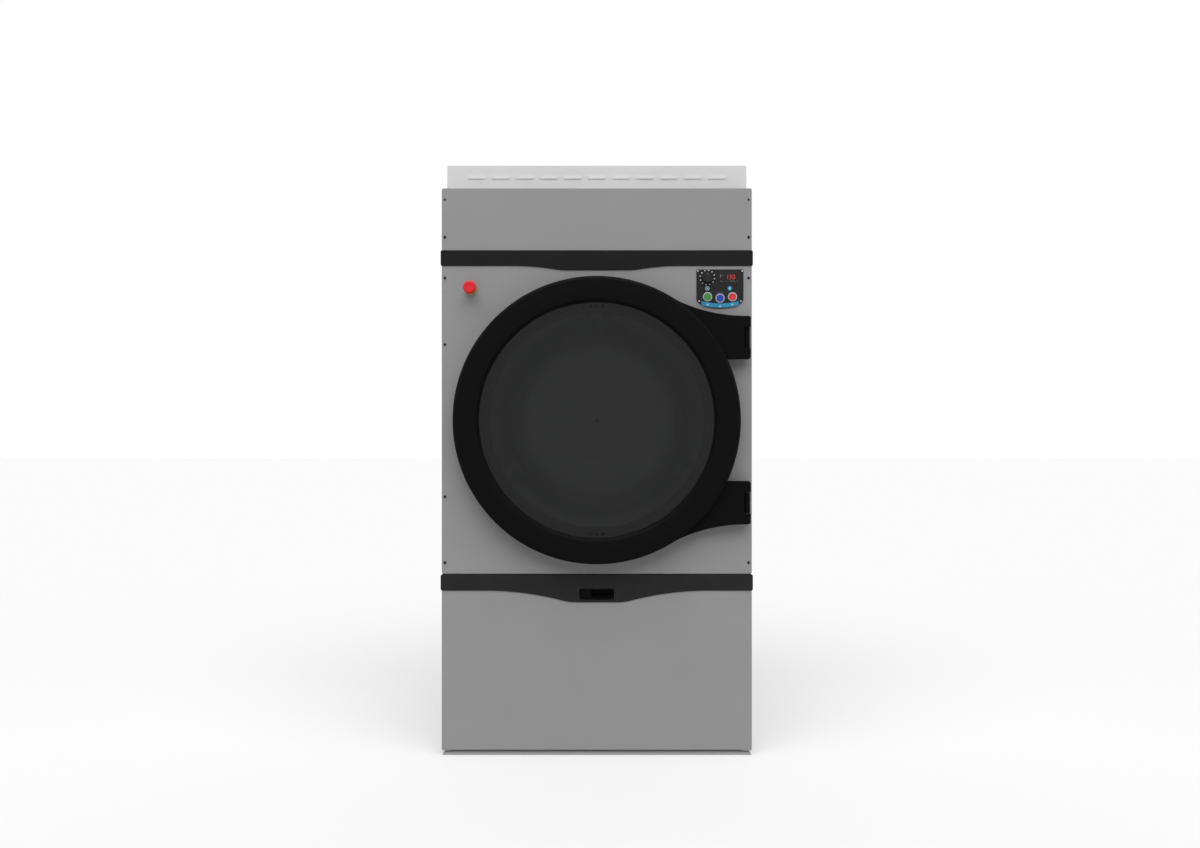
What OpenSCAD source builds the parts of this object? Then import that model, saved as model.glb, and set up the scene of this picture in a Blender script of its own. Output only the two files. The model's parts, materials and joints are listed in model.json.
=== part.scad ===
// Commercial tumble dryer: cabinet, glazed round door, belt-driven drum, fan and lint drawer.
// Millimetres. +Z is up, the front faces -Y, and the origin is under the middle of the bounding box.
// Depths are measured backwards from the outer face of the front panels; in front of it they are negative.

/* [Cabinet] */
// Width of the cabinet
cab_w = 960; // [956:1:966]
// Depth of the cabinet, from the front panels to the rear panel
cab_d = 1000; // [996:1:1040]
// Height of the front of the cabinet
cab_h = 1755; // [1745:1:1780]
// Height of the air box above the cabinet
airbox_h = 87; // [75:1:110]
// Distance of the air box behind the front panels
airbox_inset = 80; // [70:1:100]
// Number of louvres in the air box
louvres = 11; // [5:1:11]
// Thickness of the sheet steel
sheet = 1.5; // [1.4:0.1:1.5]

/* [Door] */
// Height of the middle of the door
door_z = 1037; // [1033:1:1040]
// Outer radius of the door ring
door_r = 438.5; // [436:0.5:439]
// Radius of the window in the door ring
window_r = 358; // [356:1:359]
// How far the door ring stands out
door_front = 75; // [72:1:80]

/* [Drum] */
// Inner radius of the drum
drum_r = 420; // [418:1:422]
// Inner radius of the loading port
port_r = 345; // [343:1:346]
// Number of lifters in the drum
lifters = 3; // [3:1:4]

/* [Drive] */
// Pitch radius of the drum pulley
drum_pulley_r = 260; // [240:1:270]
// Pitch radius of the small pulley on the jackshaft
jack_small_r = 32.5; // [30:0.5:36]
// Pitch radius of the large pulley on the jackshaft
jack_large_r = 120; // [110:1:125]
// Pitch radius of the motor pulley
motor_pulley_r = 30; // [28:0.5:34]
// Outer radius of the exhaust spigot
spigot_r = 100; // [99:0.5:101]

/* [Trim] */
// Thickness of the two trim bands, which fold round the front's corners
trim_t = 3; // [2:0.5:4]
// Radius of a trim band's corners
trim_corner = 5; // [3:1:8]

/* [Hidden] */
$fn = 96;
hw = cab_w / 2;
spigot_end = cab_d + 100;
spigot_neck_end = cab_d + 6;
front_y = -(spigot_end - door_front) / 2;
plinth_h = 14;
panel_foot = 16;
side_foot = 14.5;
pan_top = plinth_h + 3;
inner_x = hw - 2 * sheet;
eps = 0.01;

// Trim bands: heights of their straight edges, and the wave in each lower edge
upper_trim_z = [1514.2, 1562.4];
upper_dip = [13.2, 98, 800, 180];
lower_trim_z = [509.8, 559.2];
lower_dip = [36.2, 62, 950, 180];
arc_steps = 12;

// Front panels
upper_panel_foot = 1536;
front_panel_head = 1534;
front_panel_foot = 560.4;
return_d = 18;
screw_x = 470;
side_flange_x = 450;
small_screw_z = [1719];
screw_z_both = [1603, 1477, 596];
screw_z_left = [1271, 800];

// Door and hinges, with heights measured from the middle of the door
door_back = 16;
frame_back = 10;
frame_inner_r = 331;
frame_outer_r = 436;
glass_back = 56;
glass_t = 6;
hinge_x = 462;
hinge_front = 30;
hinge_h = 253;
arm_end_x = 471.4;
arm_tip_x = 243;
arm_h = 132;
arm_front = 44;
arm_sweep_r = 499;
arm_sweep_x = 458;
knuckle_h = 64;
knuckle_w = 17;
pin_r = 5;

// Drum
drum_front_d = 66;
casing_d = 50;
drum_back_d = 770;
drum_disc_r = 320;
drum_disc_d = 760;
shaft_r = 25;
shaft_tip_r = 8;
bulkhead_d = 804;
bulkhead_t = 2;
lifter_h = 62;
lifter_wall = 1.5;

// Drive, as [x, z] and depth
drum_c = [0, door_z];
jack_c = [255, 430];
motor_c = [300, 165];
first_belt_d = 838;
second_belt_d = 906;
belt_w = 10;
fan_c = [-200, 280];
fan_d = 690;
fan_w = 130;
scroll_r = 175;
outlet = [124, 146];
outlet_z = 182;

// Controls, as [x, z]
plate_c = [381, 1443];
plate_size = [145, 120];
plate_t = 4;
knob_c = [342, 1478];
button_z = [1418, 1414, 1418];
button_x = [342.5, 381, 419.5];
button_r = 11;
estop_c = [-389, 1443.5];
estop_r = 20;
plunger_r = 8;

// Lint drawer
cup_c = [0, 498.3];
cup_size = [109, 34];
cup_front = 4;
cup_seat_back = 8;
cup_scoop_back = 26;
lock_c = [-39, 498.3];
tray_w = 800;
tray_d = [18, 470];
tray_z = [80, 330];
rail_z = 297;

// ---- Shared shapes ----

// An outline drawn in x and z, given the thickness from depth d0 back to depth d1
module slab(d0, d1) {
    translate([0, front_y + d1, 0]) rotate([90, 0, 0]) linear_extrude(d1 - d0) children();
}

// A profile of [radius, depth] turned about a line along Y through x and z
module turned(c) {
    translate([c[0], front_y, c[1]]) rotate([-90, 0, 0]) rotate_extrude() children();
}

// A disc, or a ring where r_in is over 0, from depth d0 back to depth d1
module ring(c, r, r_in, d0, d1) {
    turned(c) translate([r_in, d0]) square([r - r_in, d1 - d0]);
}

// A box from depth d0 back to d1, over ranges of x and z
module block(x, d, z) {
    translate([x[0], front_y + d[0], z[0]]) cube([x[1] - x[0], d[1] - d[0], z[1] - z[0]]);
}

// A rectangle with round corners, centred
module rounded(size, r) {
    square([size[0] - 2 * r, size[1]], center = true);
    square([size[0], size[1] - 2 * r], center = true);
    for (sx = [-1, 1], sz = [-1, 1])
        translate([sx * (size[0] / 2 - r), sz * (size[1] / 2 - r)]) circle(r);
}

// A closed box whose walls lean in by inset from its foot to its top
module leaning_box(x, y, z, inset) {
    polyhedron(
        points = [for (k = [0, 1]) for (p = [[0, 0], [1, 0], [1, 1], [0, 1]])
            [x[p[0]] + (p[0] == 0 ? 1 : -1) * inset * k,
             y[p[1]] + (p[1] == 0 ? 1 : -1) * inset * k, z[k]]],
        faces = [[0, 1, 2, 3], [7, 6, 5, 4], [4, 5, 1, 0], [5, 6, 2, 1], [6, 7, 3, 2], [7, 4, 0, 3]]);
}

// A folded front panel: a face with a return down each side. gap thins the returns from inside.
module panel_face(z0, z1, gap = 0) {
    block([-hw, hw], [0, sheet], [z0, z1]);
    for (s = [-1, 1]) scale_x(s) block([hw - sheet + gap, hw], [0, return_d], [z0, z1]);
}

// The two ends of a range v measured from c
function about(c, v) = [c + v[0], c + v[1]];

// Mirrors its children across x = 0 where s is -1
module scale_x(s) {
    if (s < 0) mirror([1, 0, 0]) children();
    else children();
}

// Points along an arc round c, from angle a0 to a1
function arc(c, r, a0, a1) = [for (k = [0:arc_steps])
    let (a = a0 + (a1 - a0) * k / arc_steps) [c[0] + r * cos(a), c[1] + r * sin(a)]];

// Points put in reverse order on the other side of x = 0
function across(points) = [for (k = [len(points) - 1:-1:0]) [-points[k][0], points[k][1]]];

// The outline of a trim band between heights z, whose lower edge dips in the middle.
// dip is [depth, half width of its flat, radius at its top, radius at its foot].
module trim_outline(z, dip) {
    turn = acos(1 - dip[0] / (dip[2] + dip[3]));
    reach = dip[1] + (dip[2] + dip[3]) * sin(turn);
    end_x = hw + trim_t - trim_corner;
    foot = arc([dip[1], z[0] - dip[0] + dip[3]], dip[3], -90, -90 + turn);
    knee = arc([reach, z[0] - dip[2]], dip[2], 90 + turn, 90);
    ends = concat(arc([end_x, z[0] + trim_corner], trim_corner, -90, 0),
        arc([end_x, z[1] - trim_corner], trim_corner, 0, 90));
    side = concat(foot, [for (k = [1:arc_steps]) knee[k]], ends);
    polygon(concat(side, across(side)));
}

// A trim band: a thin face, with an end folded back round each corner of the front
module trim_band(z, dip) difference() {
    slab(-trim_t, return_d) trim_outline(z, dip);
    block([-hw, hw], [0, return_d + 1], [z[0] - dip[0] - 1, z[1] + 1]);
}

// Mirrors a flat outline across x = 0 where s is -1
module scale_2d(s) {
    if (s < 0) mirror([1, 0]) children();
    else children();
}

// The outline of an open belt round two pulleys
module belt_line(c1, r1, c2, r2) {
    hull() {
        translate(c1) circle(r1, $fn = 180);
        translate(c2) circle(r2);
    }
}

// A flat belt that runs in two pulleys' grooves
module belt(c1, r1, c2, r2, d) {
    slab(d - belt_w / 2, d + belt_w / 2) difference() {
        belt_line(c1, r1 + 3, c2, r2 + 3);
        belt_line(c1, r1 - 4.6, c2, r2 - 4.6);
    }
}

// A grooved pulley: rim, thin web and hub, with the belt's groove in the middle of its rim
module pulley(c, r, d, hub_r, bore_r) {
    w = belt_w + 10;
    turned(c) difference() {
        union() {
            translate([r - 14, d - w / 2]) square([18, w]);
            translate([bore_r, d - 3]) square([r - 10 - bore_r, 6]);
            translate([bore_r, d - w / 2]) square([hub_r - bore_r, w]);
        }
        translate([r - 5, d - belt_w / 2 - 0.5]) square([20, belt_w + 1]);
    }
}

// A hexagon nut or bolt head on a vertical axis
module hexagon(across, h) {
    cylinder(r = across / sqrt(3), h = h, $fn = 6);
}

// ---- Cabinet ----

foot_x = 400;
foot_d = [90, 910];
foot_hole_r = 6.5;

module base_pan() color("darkgray") {
    x = hw - 2;
    y = [front_y + 2, front_y + cab_d - 2];
    difference() {
        leaning_box([-x, x], y, [1.5, plinth_h], 10);
        leaning_box([-x + 2, x - 2], [y[0] + 2, y[1] - 2], [1.5 - eps, plinth_h + eps], 10);
    }
    difference() {
        block([-inner_x, inner_x], [8, cab_d - 8], [plinth_h, pan_top]);
        for (x = [-foot_x, foot_x], d = foot_d)
            translate([x, front_y + d, plinth_h - 1]) cylinder(r = foot_hole_r, h = 5);
    }
    for (s = [-1, 1]) scale_x(s) block([inner_x - 2, inner_x], [20, cab_d - 8], [pan_top, 60]);
    block([-inner_x, inner_x], [cab_d - 10, cab_d - 8], [pan_top, 60]);
}

module levelling_feet() color("silver")
    for (x = [-foot_x, foot_x], d = foot_d) translate([x, front_y + d, 0]) {
        cylinder(r = 25, h = 6);
        cylinder(r = 6, h = 62);
        translate([0, 0, 6]) hexagon(19, plinth_h - 6);
        translate([0, 0, pan_top]) hexagon(19, 10);
    }

// Heights of the large screws down side s
function screw_heights(s) = concat(screw_z_both, s < 0 ? screw_z_left : []);

module side_panel(s) color("lightgray") scale_x(s) {
    x = hw - sheet;
    head = cab_h - sheet;
    block([inner_x, x], [2, cab_d - sheet], [side_foot, head]);
    block([side_flange_x, x], [2, 2 + sheet], [side_foot, 60]);
    difference() {
        block([side_flange_x, x], [2, 2 + sheet], [front_panel_foot + 4, head]);
        for (z = screw_heights(s)) ring([screw_x, z], 3.2, 0, 0, 5);
        for (z = small_screw_z) ring([screw_x, z], 2.2, 0, 0, 5);
    }
    block([x - 25, x], [cab_d - 2 * sheet, cab_d - sheet], [side_foot, head]);
}

module rear_panel() color("lightgray") slab(cab_d - sheet, cab_d) difference() {
    translate([-hw + 2, side_foot]) square([cab_w - 4, cab_h - sheet - side_foot]);
    translate(drum_c) circle(80);
    translate([fan_c[0], outlet_z]) circle(spigot_r + 1);
    translate(gland_c) circle(12.6);
    for (k = [0:5]) translate(drum_c) rotate(60 * k) translate([95, 0]) circle(2.5);
}

module rear_access_cover() color("silver") {
    ring(drum_c, 106, 0, cab_d, cab_d + sheet);
    for (k = [0:5]) {
        c = drum_c + 95 * [cos(60 * k), sin(60 * k)];
        ring(c, 5, 0, cab_d + sheet, cab_d + sheet + 3);
        ring(c, 2.4, 0, cab_d - 8, cab_d);
    }
}

louvre_w = 57;
louvre_h = 15;
louvre_out = 7;
louvre_skin = 1.2;
louvre_pitch = 76.6;
louvre_z = 1801;

module airbox_cover() color("gainsboro") {
    x = hw - 7;
    top = cab_h + airbox_h;
    d = [airbox_inset, cab_d - 4];
    difference() {
        block([-hw + sheet, hw - sheet], [airbox_inset + 23, cab_d], [cab_h - sheet, cab_h]);
        block([-400, 400], [290, 710], [cab_h - 5, cab_h + 5]);
    }
    difference() {
        union() {
            block([-x, x], d, [cab_h, top]);
            louvre_row(louvre_w) polygon([[1, 0], [-louvre_out, 0], [0, louvre_h], [1, louvre_h]]);
        }
        block([-x + sheet, x - sheet], d + [sheet, -sheet], [cab_h - 1, top - sheet]);
        louvre_row(louvre_w - 2 * louvre_skin) polygon([[5, -1],
            [-louvre_out + 0.9, -1], [0, louvre_h - 2.8], [5, louvre_h - 2.8]]);
    }
}

// The child is each louvre's section, as depth from the face and height from its lower edge
module louvre_row(w) {
    for (k = [0:louvres - 1])
        translate([(k - (louvres - 1) / 2) * louvre_pitch - w / 2, front_y + airbox_inset, louvre_z])
            rotate([90, 0, 90]) linear_extrude(w) children();
}

module heater_bank() color("slategray") {
    for (s = [-1, 1]) scale_x(s) block([405, 409], [280, 720], [cab_h, cab_h + 66]);
    for (d = [320:60:680], z = [cab_h + 22, cab_h + 48])
        translate([-414, front_y + d, z]) rotate([0, 90, 0]) cylinder(r = 6, h = 828);
    for (d = [280, 716]) block([-405, 405], [d, d + 4], [cab_h, cab_h + 12]);
}

module upper_front_panel() color("darkgray") difference() {
    union() {
        panel_face(upper_panel_foot, cab_h);
        block([-hw + sheet, hw - sheet], [sheet, airbox_inset + 22], [cab_h - sheet, cab_h]);
    }
    for (s = [-1, 1]) {
        for (z = small_screw_z) screw_hole([s * screw_x, z], 2.2);
        screw_hole([s * screw_x, screw_z_both[0]], 3.2);
    }
}

module screw_hole(c, r) {
    ring(c, r, 0, -1, sheet + 1);
}

module upper_trim() color("#242424") trim_band(upper_trim_z, upper_dip);

module front_panel() color("darkgray") difference() {
    union() {
        panel_face(front_panel_foot, front_panel_head);
        block([1 - inner_x, inner_x - 1], [sheet, 8], [front_panel_foot, front_panel_foot + sheet]);
        block([1 - side_flange_x, side_flange_x - 1], [sheet, 14],
            [front_panel_head - sheet, front_panel_head]);
    }
    ring([0, door_z], 372, 0, -1, sheet + 1);
    screw_hole(estop_c, 11.3);
    slab(-1, sheet + 1) translate(plate_c) rounded([118, 92], 6);
    for (s = [-1, 1], z = screw_heights(s)) screw_hole([s * screw_x, z], 3.2);
}

module port_ring() color("silver") turned([0, door_z]) {
    translate([port_r, sheet]) square([50, 2]);
    translate([port_r, sheet]) square([2, 85]);
}

// Rubber ring on the port, with a hollow lip that the door closes on
module door_seal() color("#202020") turned([0, door_z]) difference() {
    union() {
        translate([352, -3]) square([18, sheet + 3]);
        translate([361, -4.2]) circle(5.4);
    }
    translate([361, -4.2]) circle(3.4);
}

module drum_felt_seal() color("tan")
    ring([0, door_z], port_r + 6.5, port_r + 2, 62, 82);

module drum_casing() color("lightsteelblue") difference() {
    turned(drum_c) {
        translate([drum_r + 28, casing_d]) square([1.5, bulkhead_d - casing_d]);
        translate([port_r + 2, casing_d]) square([drum_r + 29 - port_r - 2, 1.5]);
    }
    for (s = [-1, 1])
        block([-300, 300], [140, 750], [door_z + s * 400 - 90, door_z + s * 400 + 90]);
}

// The wall behind the drum, with a slot that the fan's casing passes through
module rear_bulkhead() color("silver") slab(bulkhead_d, bulkhead_d + bulkhead_t) difference() {
    gap = 4;
    scroll_top = fan_c[1] + sqrt(pow(scroll_r, 2) - pow(bulkhead_d - fan_d, 2)) + gap;
    slot_foot = outlet_z - outlet[1] / 2 - gap;
    translate([-inner_x + 2, pan_top]) square([2 * inner_x - 4, 1505]);
    translate(drum_c) circle(48);
    translate(jack_c) circle(20);
    translate(motor_c) circle(40);
    translate([fan_c[0] - fan_w / 2 - gap, slot_foot])
        square([fan_w + 2 * gap, scroll_top - slot_foot]);
}

bearing_r = 45;
housing_d = [bulkhead_d + bulkhead_t, 890];

module bearing_housing() color("#4a5a66") turned(drum_c) difference() {
    union() {
        translate([0, housing_d[0]]) square([60, housing_d[1] - housing_d[0]]);
        translate([0, housing_d[0]]) square([95, 12]);
    }
    translate([-1, housing_d[0] - 1]) square([bearing_r - 6, 100]);
    for (d = [housing_d[0] - 1, housing_d[1] - 23])
        translate([0, d]) square([bearing_r, 24]);
}

module shaft_bearings() color("silver")
    for (d = [housing_d[0] + 2, housing_d[1] - 22])
        ring(drum_c, bearing_r, shaft_r + 0.05, d, d + 20);

motor_d = [570, 780];

module drum_motor() color("#3c4c5c") {
    turned(motor_c) difference() {
        union() {
            translate([0, motor_d[0]]) square([72, 210]);
            translate([0, motor_d[0] + 30]) square([80, 140]);
            translate([0, motor_d[1]]) square([26, 8]);
        }
        translate([-1, motor_d[1] - 40]) square([14.05, 50]);
    }
    difference() {
        for (d = [motor_d[0] + 40, motor_d[1] - 70])
            block(about(motor_c[0], [-70, 70]), [d, d + 30], [pan_top, motor_c[1]]);
        ring(motor_c, 75, 0, motor_d[0], motor_d[1]);
    }
    block(about(motor_c[0], [20, 76]), [motor_d[0] + 60, motor_d[1] - 70],
        about(motor_c[1], [60, 110]));
}

module jackshaft_bracket() color("#4a5a66") {
    ring(jack_c, 34, 12.55, housing_d[0], housing_d[0] + 16);
    difference() {
        slab(housing_d[0], housing_d[0] + 6) translate(jack_c) rounded([150, 90], 10);
        ring(jack_c, 12.55, 0, housing_d[0] - 1, housing_d[0] + 20);
    }
}

module drum_belt() color("#1c1c1c")
    belt(drum_c, drum_pulley_r, jack_c, jack_small_r, second_belt_d);

module motor_belt() color("#1c1c1c")
    belt(jack_c, jack_large_r, motor_c, motor_pulley_r, first_belt_d);

// The side outline of the fan's casing, drawn as depth and height, grown by g
module scroll_outline(g, end) {
    translate([fan_d, fan_c[1]]) circle(scroll_r + g);
    translate([fan_d, outlet_z - outlet[1] / 2 - g]) square([end - fan_d, outlet[1] + 2 * g]);
}

// A depth-and-height outline given a width in x
module side_slab(x0, x1) {
    translate([x0, front_y, 0]) rotate([90, 0, 90]) linear_extrude(x1 - x0) children();
}

module fan_scroll() color("silver") {
    x = about(fan_c[0], [-fan_w / 2, fan_w / 2]);
    difference() {
        side_slab(x[0], x[1]) scroll_outline(0, 975);
        side_slab(x[0] + 3, x[1] - 3) scroll_outline(-2, 976);
        translate([x[1] - 10, front_y + fan_d, fan_c[1]]) rotate([0, 90, 0]) cylinder(r = 95, h = 20);
        translate([x[0] - 10, front_y + fan_d, fan_c[1]]) rotate([0, 90, 0]) cylinder(r = 16, h = 20);
    }
    block(x, [fan_d - 120, fan_d - 117], [pan_top, fan_c[1] - sqrt(pow(scroll_r, 2) - 120 * 120) + 1]);
    block(x, [fan_d + 80, fan_d + 83], [pan_top, outlet_z - outlet[1] / 2 + 1]);
}

fan_shaft_r = 9.5;
fan_motor_x = [-455, -290];

module fan_motor() color("#3c4c5c") {
    difference() {
        translate([fan_motor_x[0], front_y + fan_d, fan_c[1]]) rotate([0, 90, 0])
            cylinder(r = 68, h = fan_motor_x[1] - fan_motor_x[0]);
        translate([fan_motor_x[1] - 40, front_y + fan_d, fan_c[1]]) rotate([0, 90, 0])
            cylinder(r = fan_shaft_r + 0.05, h = 50);
    }
    block([-430, -320], about(fan_d, [-60, 60]), [pan_top, pan_top + 4]);
    for (d = about(fan_d, [-52, 46])) difference() {
        block([-420, -330], [d, d + 6], [pan_top + 4, fan_c[1]]);
        translate([-500, front_y + fan_d, fan_c[1]]) rotate([0, 90, 0]) cylinder(r = 67.5, h = 300);
    }
}

// A duct slides over the spigot as far as its slightly smaller neck
module exhaust_spigot() color("gainsboro") turned([fan_c[0], outlet_z]) {
    inner_r = spigot_r - 1.5;
    translate([inner_r, 962]) square([0.9, spigot_neck_end + 1 - 962]);
    translate([inner_r, spigot_neck_end]) square([1.5, spigot_end - spigot_neck_end]);
    translate([inner_r + 0.5, cab_d]) square([24, 1.5]);
}

gland_c = [380, 1500];
gland_bore_r = 8;

module cable_gland() color("#303030") turned(gland_c) {
    translate([gland_bore_r, cab_d - 12]) square([12.5 - gland_bore_r, 40]);
    translate([gland_bore_r, cab_d]) square([18 - gland_bore_r, 8]);
    translate([gland_bore_r, cab_d - 12]) square([18 - gland_bore_r, 10]);
    translate([gland_bore_r, cab_d + 12]) square([16 - gland_bore_r, 18]);
}

module electrics_tray() color("whitesmoke") {
    block([-inner_x, inner_x], [72, 74], [1580, 1738]);
    for (x = [-360, -300, -240, -180, 40]) block([x, x + 45], [10, 72], [1625, 1705]);
    block([120, 400], [40, 72], [1640, 1670]);
    for (x = [130:24:370]) block([x, x + 20], [24, 40], [1643, 1667]);
}

// ---- Controls ----

// The face of the control plate: square shoulders above and a bowed foot
module plate_outline() {
    w = plate_size[0];
    h = plate_size[1];
    foot_r = 28;
    bow_r = 170;
    intersection() {
        union() {
            translate([-w / 2 + 3, -h / 2 + foot_r]) square([w - 6, h - foot_r]);
            translate([-w / 2, -h / 2 + foot_r]) square([w, h - foot_r - 3]);
            for (s = [-1, 1]) translate([s * (w / 2 - 3), h / 2 - 3]) circle(3);
            for (s = [-1, 1]) translate([s * (w / 2 - foot_r), -h / 2 + foot_r]) circle(foot_r);
            translate([-w / 2 + foot_r, -h / 2]) square([w - 2 * foot_r, foot_r + 1]);
        }
        translate([0, bow_r - h / 2]) circle(bow_r, $fn = 240);
    }
}

// The plate has a raised collar round each button
module control_plate() color("#2c2c2c") difference() {
    union() {
        slab(-plate_t, 0) translate(plate_c) plate_outline();
        for (k = [0:2])
            ring([button_x[k], button_z[k]], button_r + 3.2, 0, -plate_t - 1.2, -plate_t + 1);
    }
    for (k = [0:2]) ring([button_x[k], button_z[k]], button_r + 0.4, 0, -plate_t - 2, 1);
    ring(knob_c, 4.4, 0, -plate_t - 1, 1);
}

module control_board() color("darkgreen") {
    slab(16, 18) difference() {
        translate(plate_c) square([114, 88], center = true);
        translate(knob_c) circle(4.4);
    }
    block([398, 438], [6, 16], [1464, 1494]);
    for (k = [0:2]) ring([button_x[k], button_z[k]], 5, 0, 9.5, 16);
    for (x = [330, 432], z = [1402, 1482]) ring([x, z], 3, 0, 0, 16);
}

screw_head_r = 5.2;

// A round head on the face and a shank behind it
module face_screw(c, head_r, head_h, shank_r) {
    ring(c, head_r, 0, -head_h, 0);
    ring(c, shank_r, 0, 0, 14);
}

module panel_screws() color("#303030") {
    for (s = [-1, 1]) {
        for (z = small_screw_z) face_screw([s * screw_x, z], 3.5, 2, 2);
        for (z = screw_heights(s)) face_screw([s * screw_x, z], screw_head_r, 3, 3);
        ring(plate_c + [s * 68.4, 55], 3, 0, -plate_t - 1.6, -plate_t);
        ring(plate_c + [s * 64.6, -38.6], 3, 0, -plate_t - 1.6, -plate_t);
    }
}

module estop_base() color("gold") {
    turned(estop_c) difference() {
        union() {
            translate([0, -10]) square([estop_r - 2, 10]);
            translate([0, -1]) square([11.2, 4]);
            translate([0, sheet]) square([16, 44]);
        }
        translate([-1, -11]) square([plunger_r + 1.1, 28]);
        translate([-1, 16]) square([15, 26]);
    }
    block(about(estop_c[0], [-15, 15]), [45, 70], about(estop_c[1], [-20, 20]));
}

module estop_plunger() color("#303030") turned(estop_c) {
    translate([0, -29.8]) square([plunger_r, 60]);
    translate([0, 18]) square([13, 4]);
}

module estop_head() color("#dc343b") turned(estop_c) {
    translate([0, -49]) square([estop_r, 13]);
    translate([0, -52]) square([estop_r - 3, 10]);
    translate([estop_r - 3, -49]) circle(3);
    translate([0, -36]) square([14, 6]);
}

module button(k, tint) color(tint) {
    c = [button_x[k], button_z[k]];
    ring(c, button_r, 0, -plate_t - 2.5, 6);
    ring(c, button_r + 2, 0, 0.4, 3);
}

module start_button() button(0, "#458f41");

module mode_button() button(1, "#354cb2");

module stop_button() button(2, "#cc4541");

module selector_knob() color("#343434") {
    difference() {
        ring(knob_c, 17.5, 0, -plate_t - 14, -plate_t - 0.5);
        block(about(knob_c[0], [-0.8, 0.8]), [-plate_t - 15, -plate_t - 13], about(knob_c[1], [4, 18]));
    }
    ring(knob_c, 4, 0, -plate_t - 1, 24);
}

// ---- Door ----

module hinge_brackets() color("#181818") for (s = [-1, 1]) {
    z = door_z + s * hinge_h;
    difference() {
        union() {
            block(about(hinge_x, [-knuckle_w / 2, knuckle_w / 2]), [-hinge_front, 0],
                about(z, [-knuckle_h / 2, knuckle_h / 2]));
            translate([hinge_x, front_y - hinge_front, z - knuckle_h / 2])
                cylinder(r = knuckle_w / 2, h = knuckle_h);
        }
        translate([hinge_x, front_y - hinge_front, z - knuckle_h])
            cylinder(r = pin_r + 0.02, h = 2 * knuckle_h);
    }
}

module hinge_pins() color("silver") for (s = [-1, 1])
    translate([hinge_x, front_y - hinge_front, door_z + s * hinge_h - arm_h / 2 + 2])
        cylinder(r = pin_r, h = arm_h - 4);

module door_catch() color("#202020") {
    block([-397, -379], [-9.6, 0], [door_z - 26, door_z + 26]);
}

// Moulded ring of the door: a hollow channel with soft front edges
module door_ring() color("#141414") turned([0, door_z]) difference() {
    f = -door_front;
    union() {
        translate([window_r, f + 8]) square([door_r - window_r, door_front - door_back - 8]);
        translate([window_r + 8, f]) square([door_r - window_r - 16, 10]);
        for (r = [window_r + 8, door_r - 8]) translate([r, f + 8]) circle(8);
    }
    translate([window_r + 4, f + 4]) square([door_r - window_r - 8, door_front]);
    translate([window_r - 10, -glass_back - glass_t]) square([20, 60]);
}

module door_glass() color("#30303080")
    ring([0, door_z], 371, 0, -glass_back - glass_t, -glass_back);

// Pressed steel frame behind the glass, with a strap to each hinge arm
module door_inner_frame() color("#2a2a2a") difference() {
    union() {
        ring([0, door_z], frame_outer_r, frame_inner_r, -door_back, -frame_back);
        ring([0, door_z], 370, 368, -glass_back, -door_back);
        for (s = [-1, 1]) slab(-door_back, -frame_back) difference() {
            translate([300, door_z + s * hinge_h - 52]) square([148, 104]);
            translate([0, door_z]) circle(370);
        }
    }
    for (s = [-1, 1], k = [-1, 0, 1]) ring([18 * k, door_z + s * 347.5], 2.5, 0, -20, 0);
}

// A hinge arm's outline: it sweeps out of the door ring to an end with a pocket for the knuckle
module arm_outline(s) {
    top = hinge_h + arm_h / 2;
    translate([0, door_z]) rotate(s < 0 ? 180 : 0) scale_2d(s) difference() {
        union() {
            translate([arm_tip_x, top - arm_h]) square([arm_end_x - 8 - arm_tip_x, 220]);
            translate([arm_tip_x, top - arm_h + 8]) square([arm_end_x - arm_tip_x, 220]);
            translate([arm_end_x - 8, top - arm_h + 8]) circle(8);
        }
        circle(door_r + 0.3, $fn = 360);
        translate([arm_sweep_x, top + arm_sweep_r]) circle(arm_sweep_r, $fn = 360);
        translate([arm_end_x - 5, top - 5]) difference() {
            square(10);
            circle(5);
        }
        translate([hinge_x - knuckle_w / 2 - 1.5, hinge_h - knuckle_h / 2 - 0.8])
            square([60, knuckle_h + 1.6]);
    }
}

module hinge_arm(s) color("#161616") difference() {
    slab(-arm_front, -door_back) arm_outline(s);
    translate([hinge_x, front_y - hinge_front, door_z + s * hinge_h - arm_h])
        cylinder(r = pin_r + 0.06, h = 2 * arm_h);
}

// ---- Drum ----

module drum_shell() color("silver") turned([0, door_z]) {
    translate([drum_r, drum_front_d]) square([1.5, drum_back_d + 16 - drum_front_d]);
    translate([352, drum_front_d]) square([drum_r + 1 - 352, 2]);
}

module drum_back() color("silver") turned([0, door_z]) {
    slope = drum_back_d - drum_disc_d;
    translate([shaft_tip_r + 0.2, drum_disc_d]) square([drum_disc_r - shaft_tip_r - 0.2, 2]);
    polygon([[drum_disc_r - 1, drum_disc_d], [drum_disc_r + slope, drum_back_d],
        [drum_disc_r + slope, drum_back_d + 2], [drum_disc_r - 1, drum_disc_d + 2]]);
    translate([drum_disc_r + slope - 0.5, drum_back_d]) square([drum_r - drum_disc_r - slope + 0.5, 2]);
    translate([drum_r - 2, drum_back_d]) square([2, 14]);
    translate([20.1, drum_disc_d]) square([59.9, 12]);
}

// A lifter's section: its crest is rounded, and its foot lies against the shell
module lifter_outline() {
    foot = sqrt(pow(drum_r - 0.2, 2) - 45 * 45);
    polygon([[-45, foot], [45, foot], [13, foot - lifter_h + 9], [-13, foot - lifter_h + 9]]);
    translate([0, foot - lifter_h + 14]) circle(14);
}

module drum_lifters() color("silver") for (k = [0:lifters - 1])
    translate([0, 0, door_z]) rotate([0, 360 / lifters * k, 0]) slab(90, 740) difference() {
        lifter_outline();
        offset(delta = -lifter_wall) lifter_outline();
    }

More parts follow.
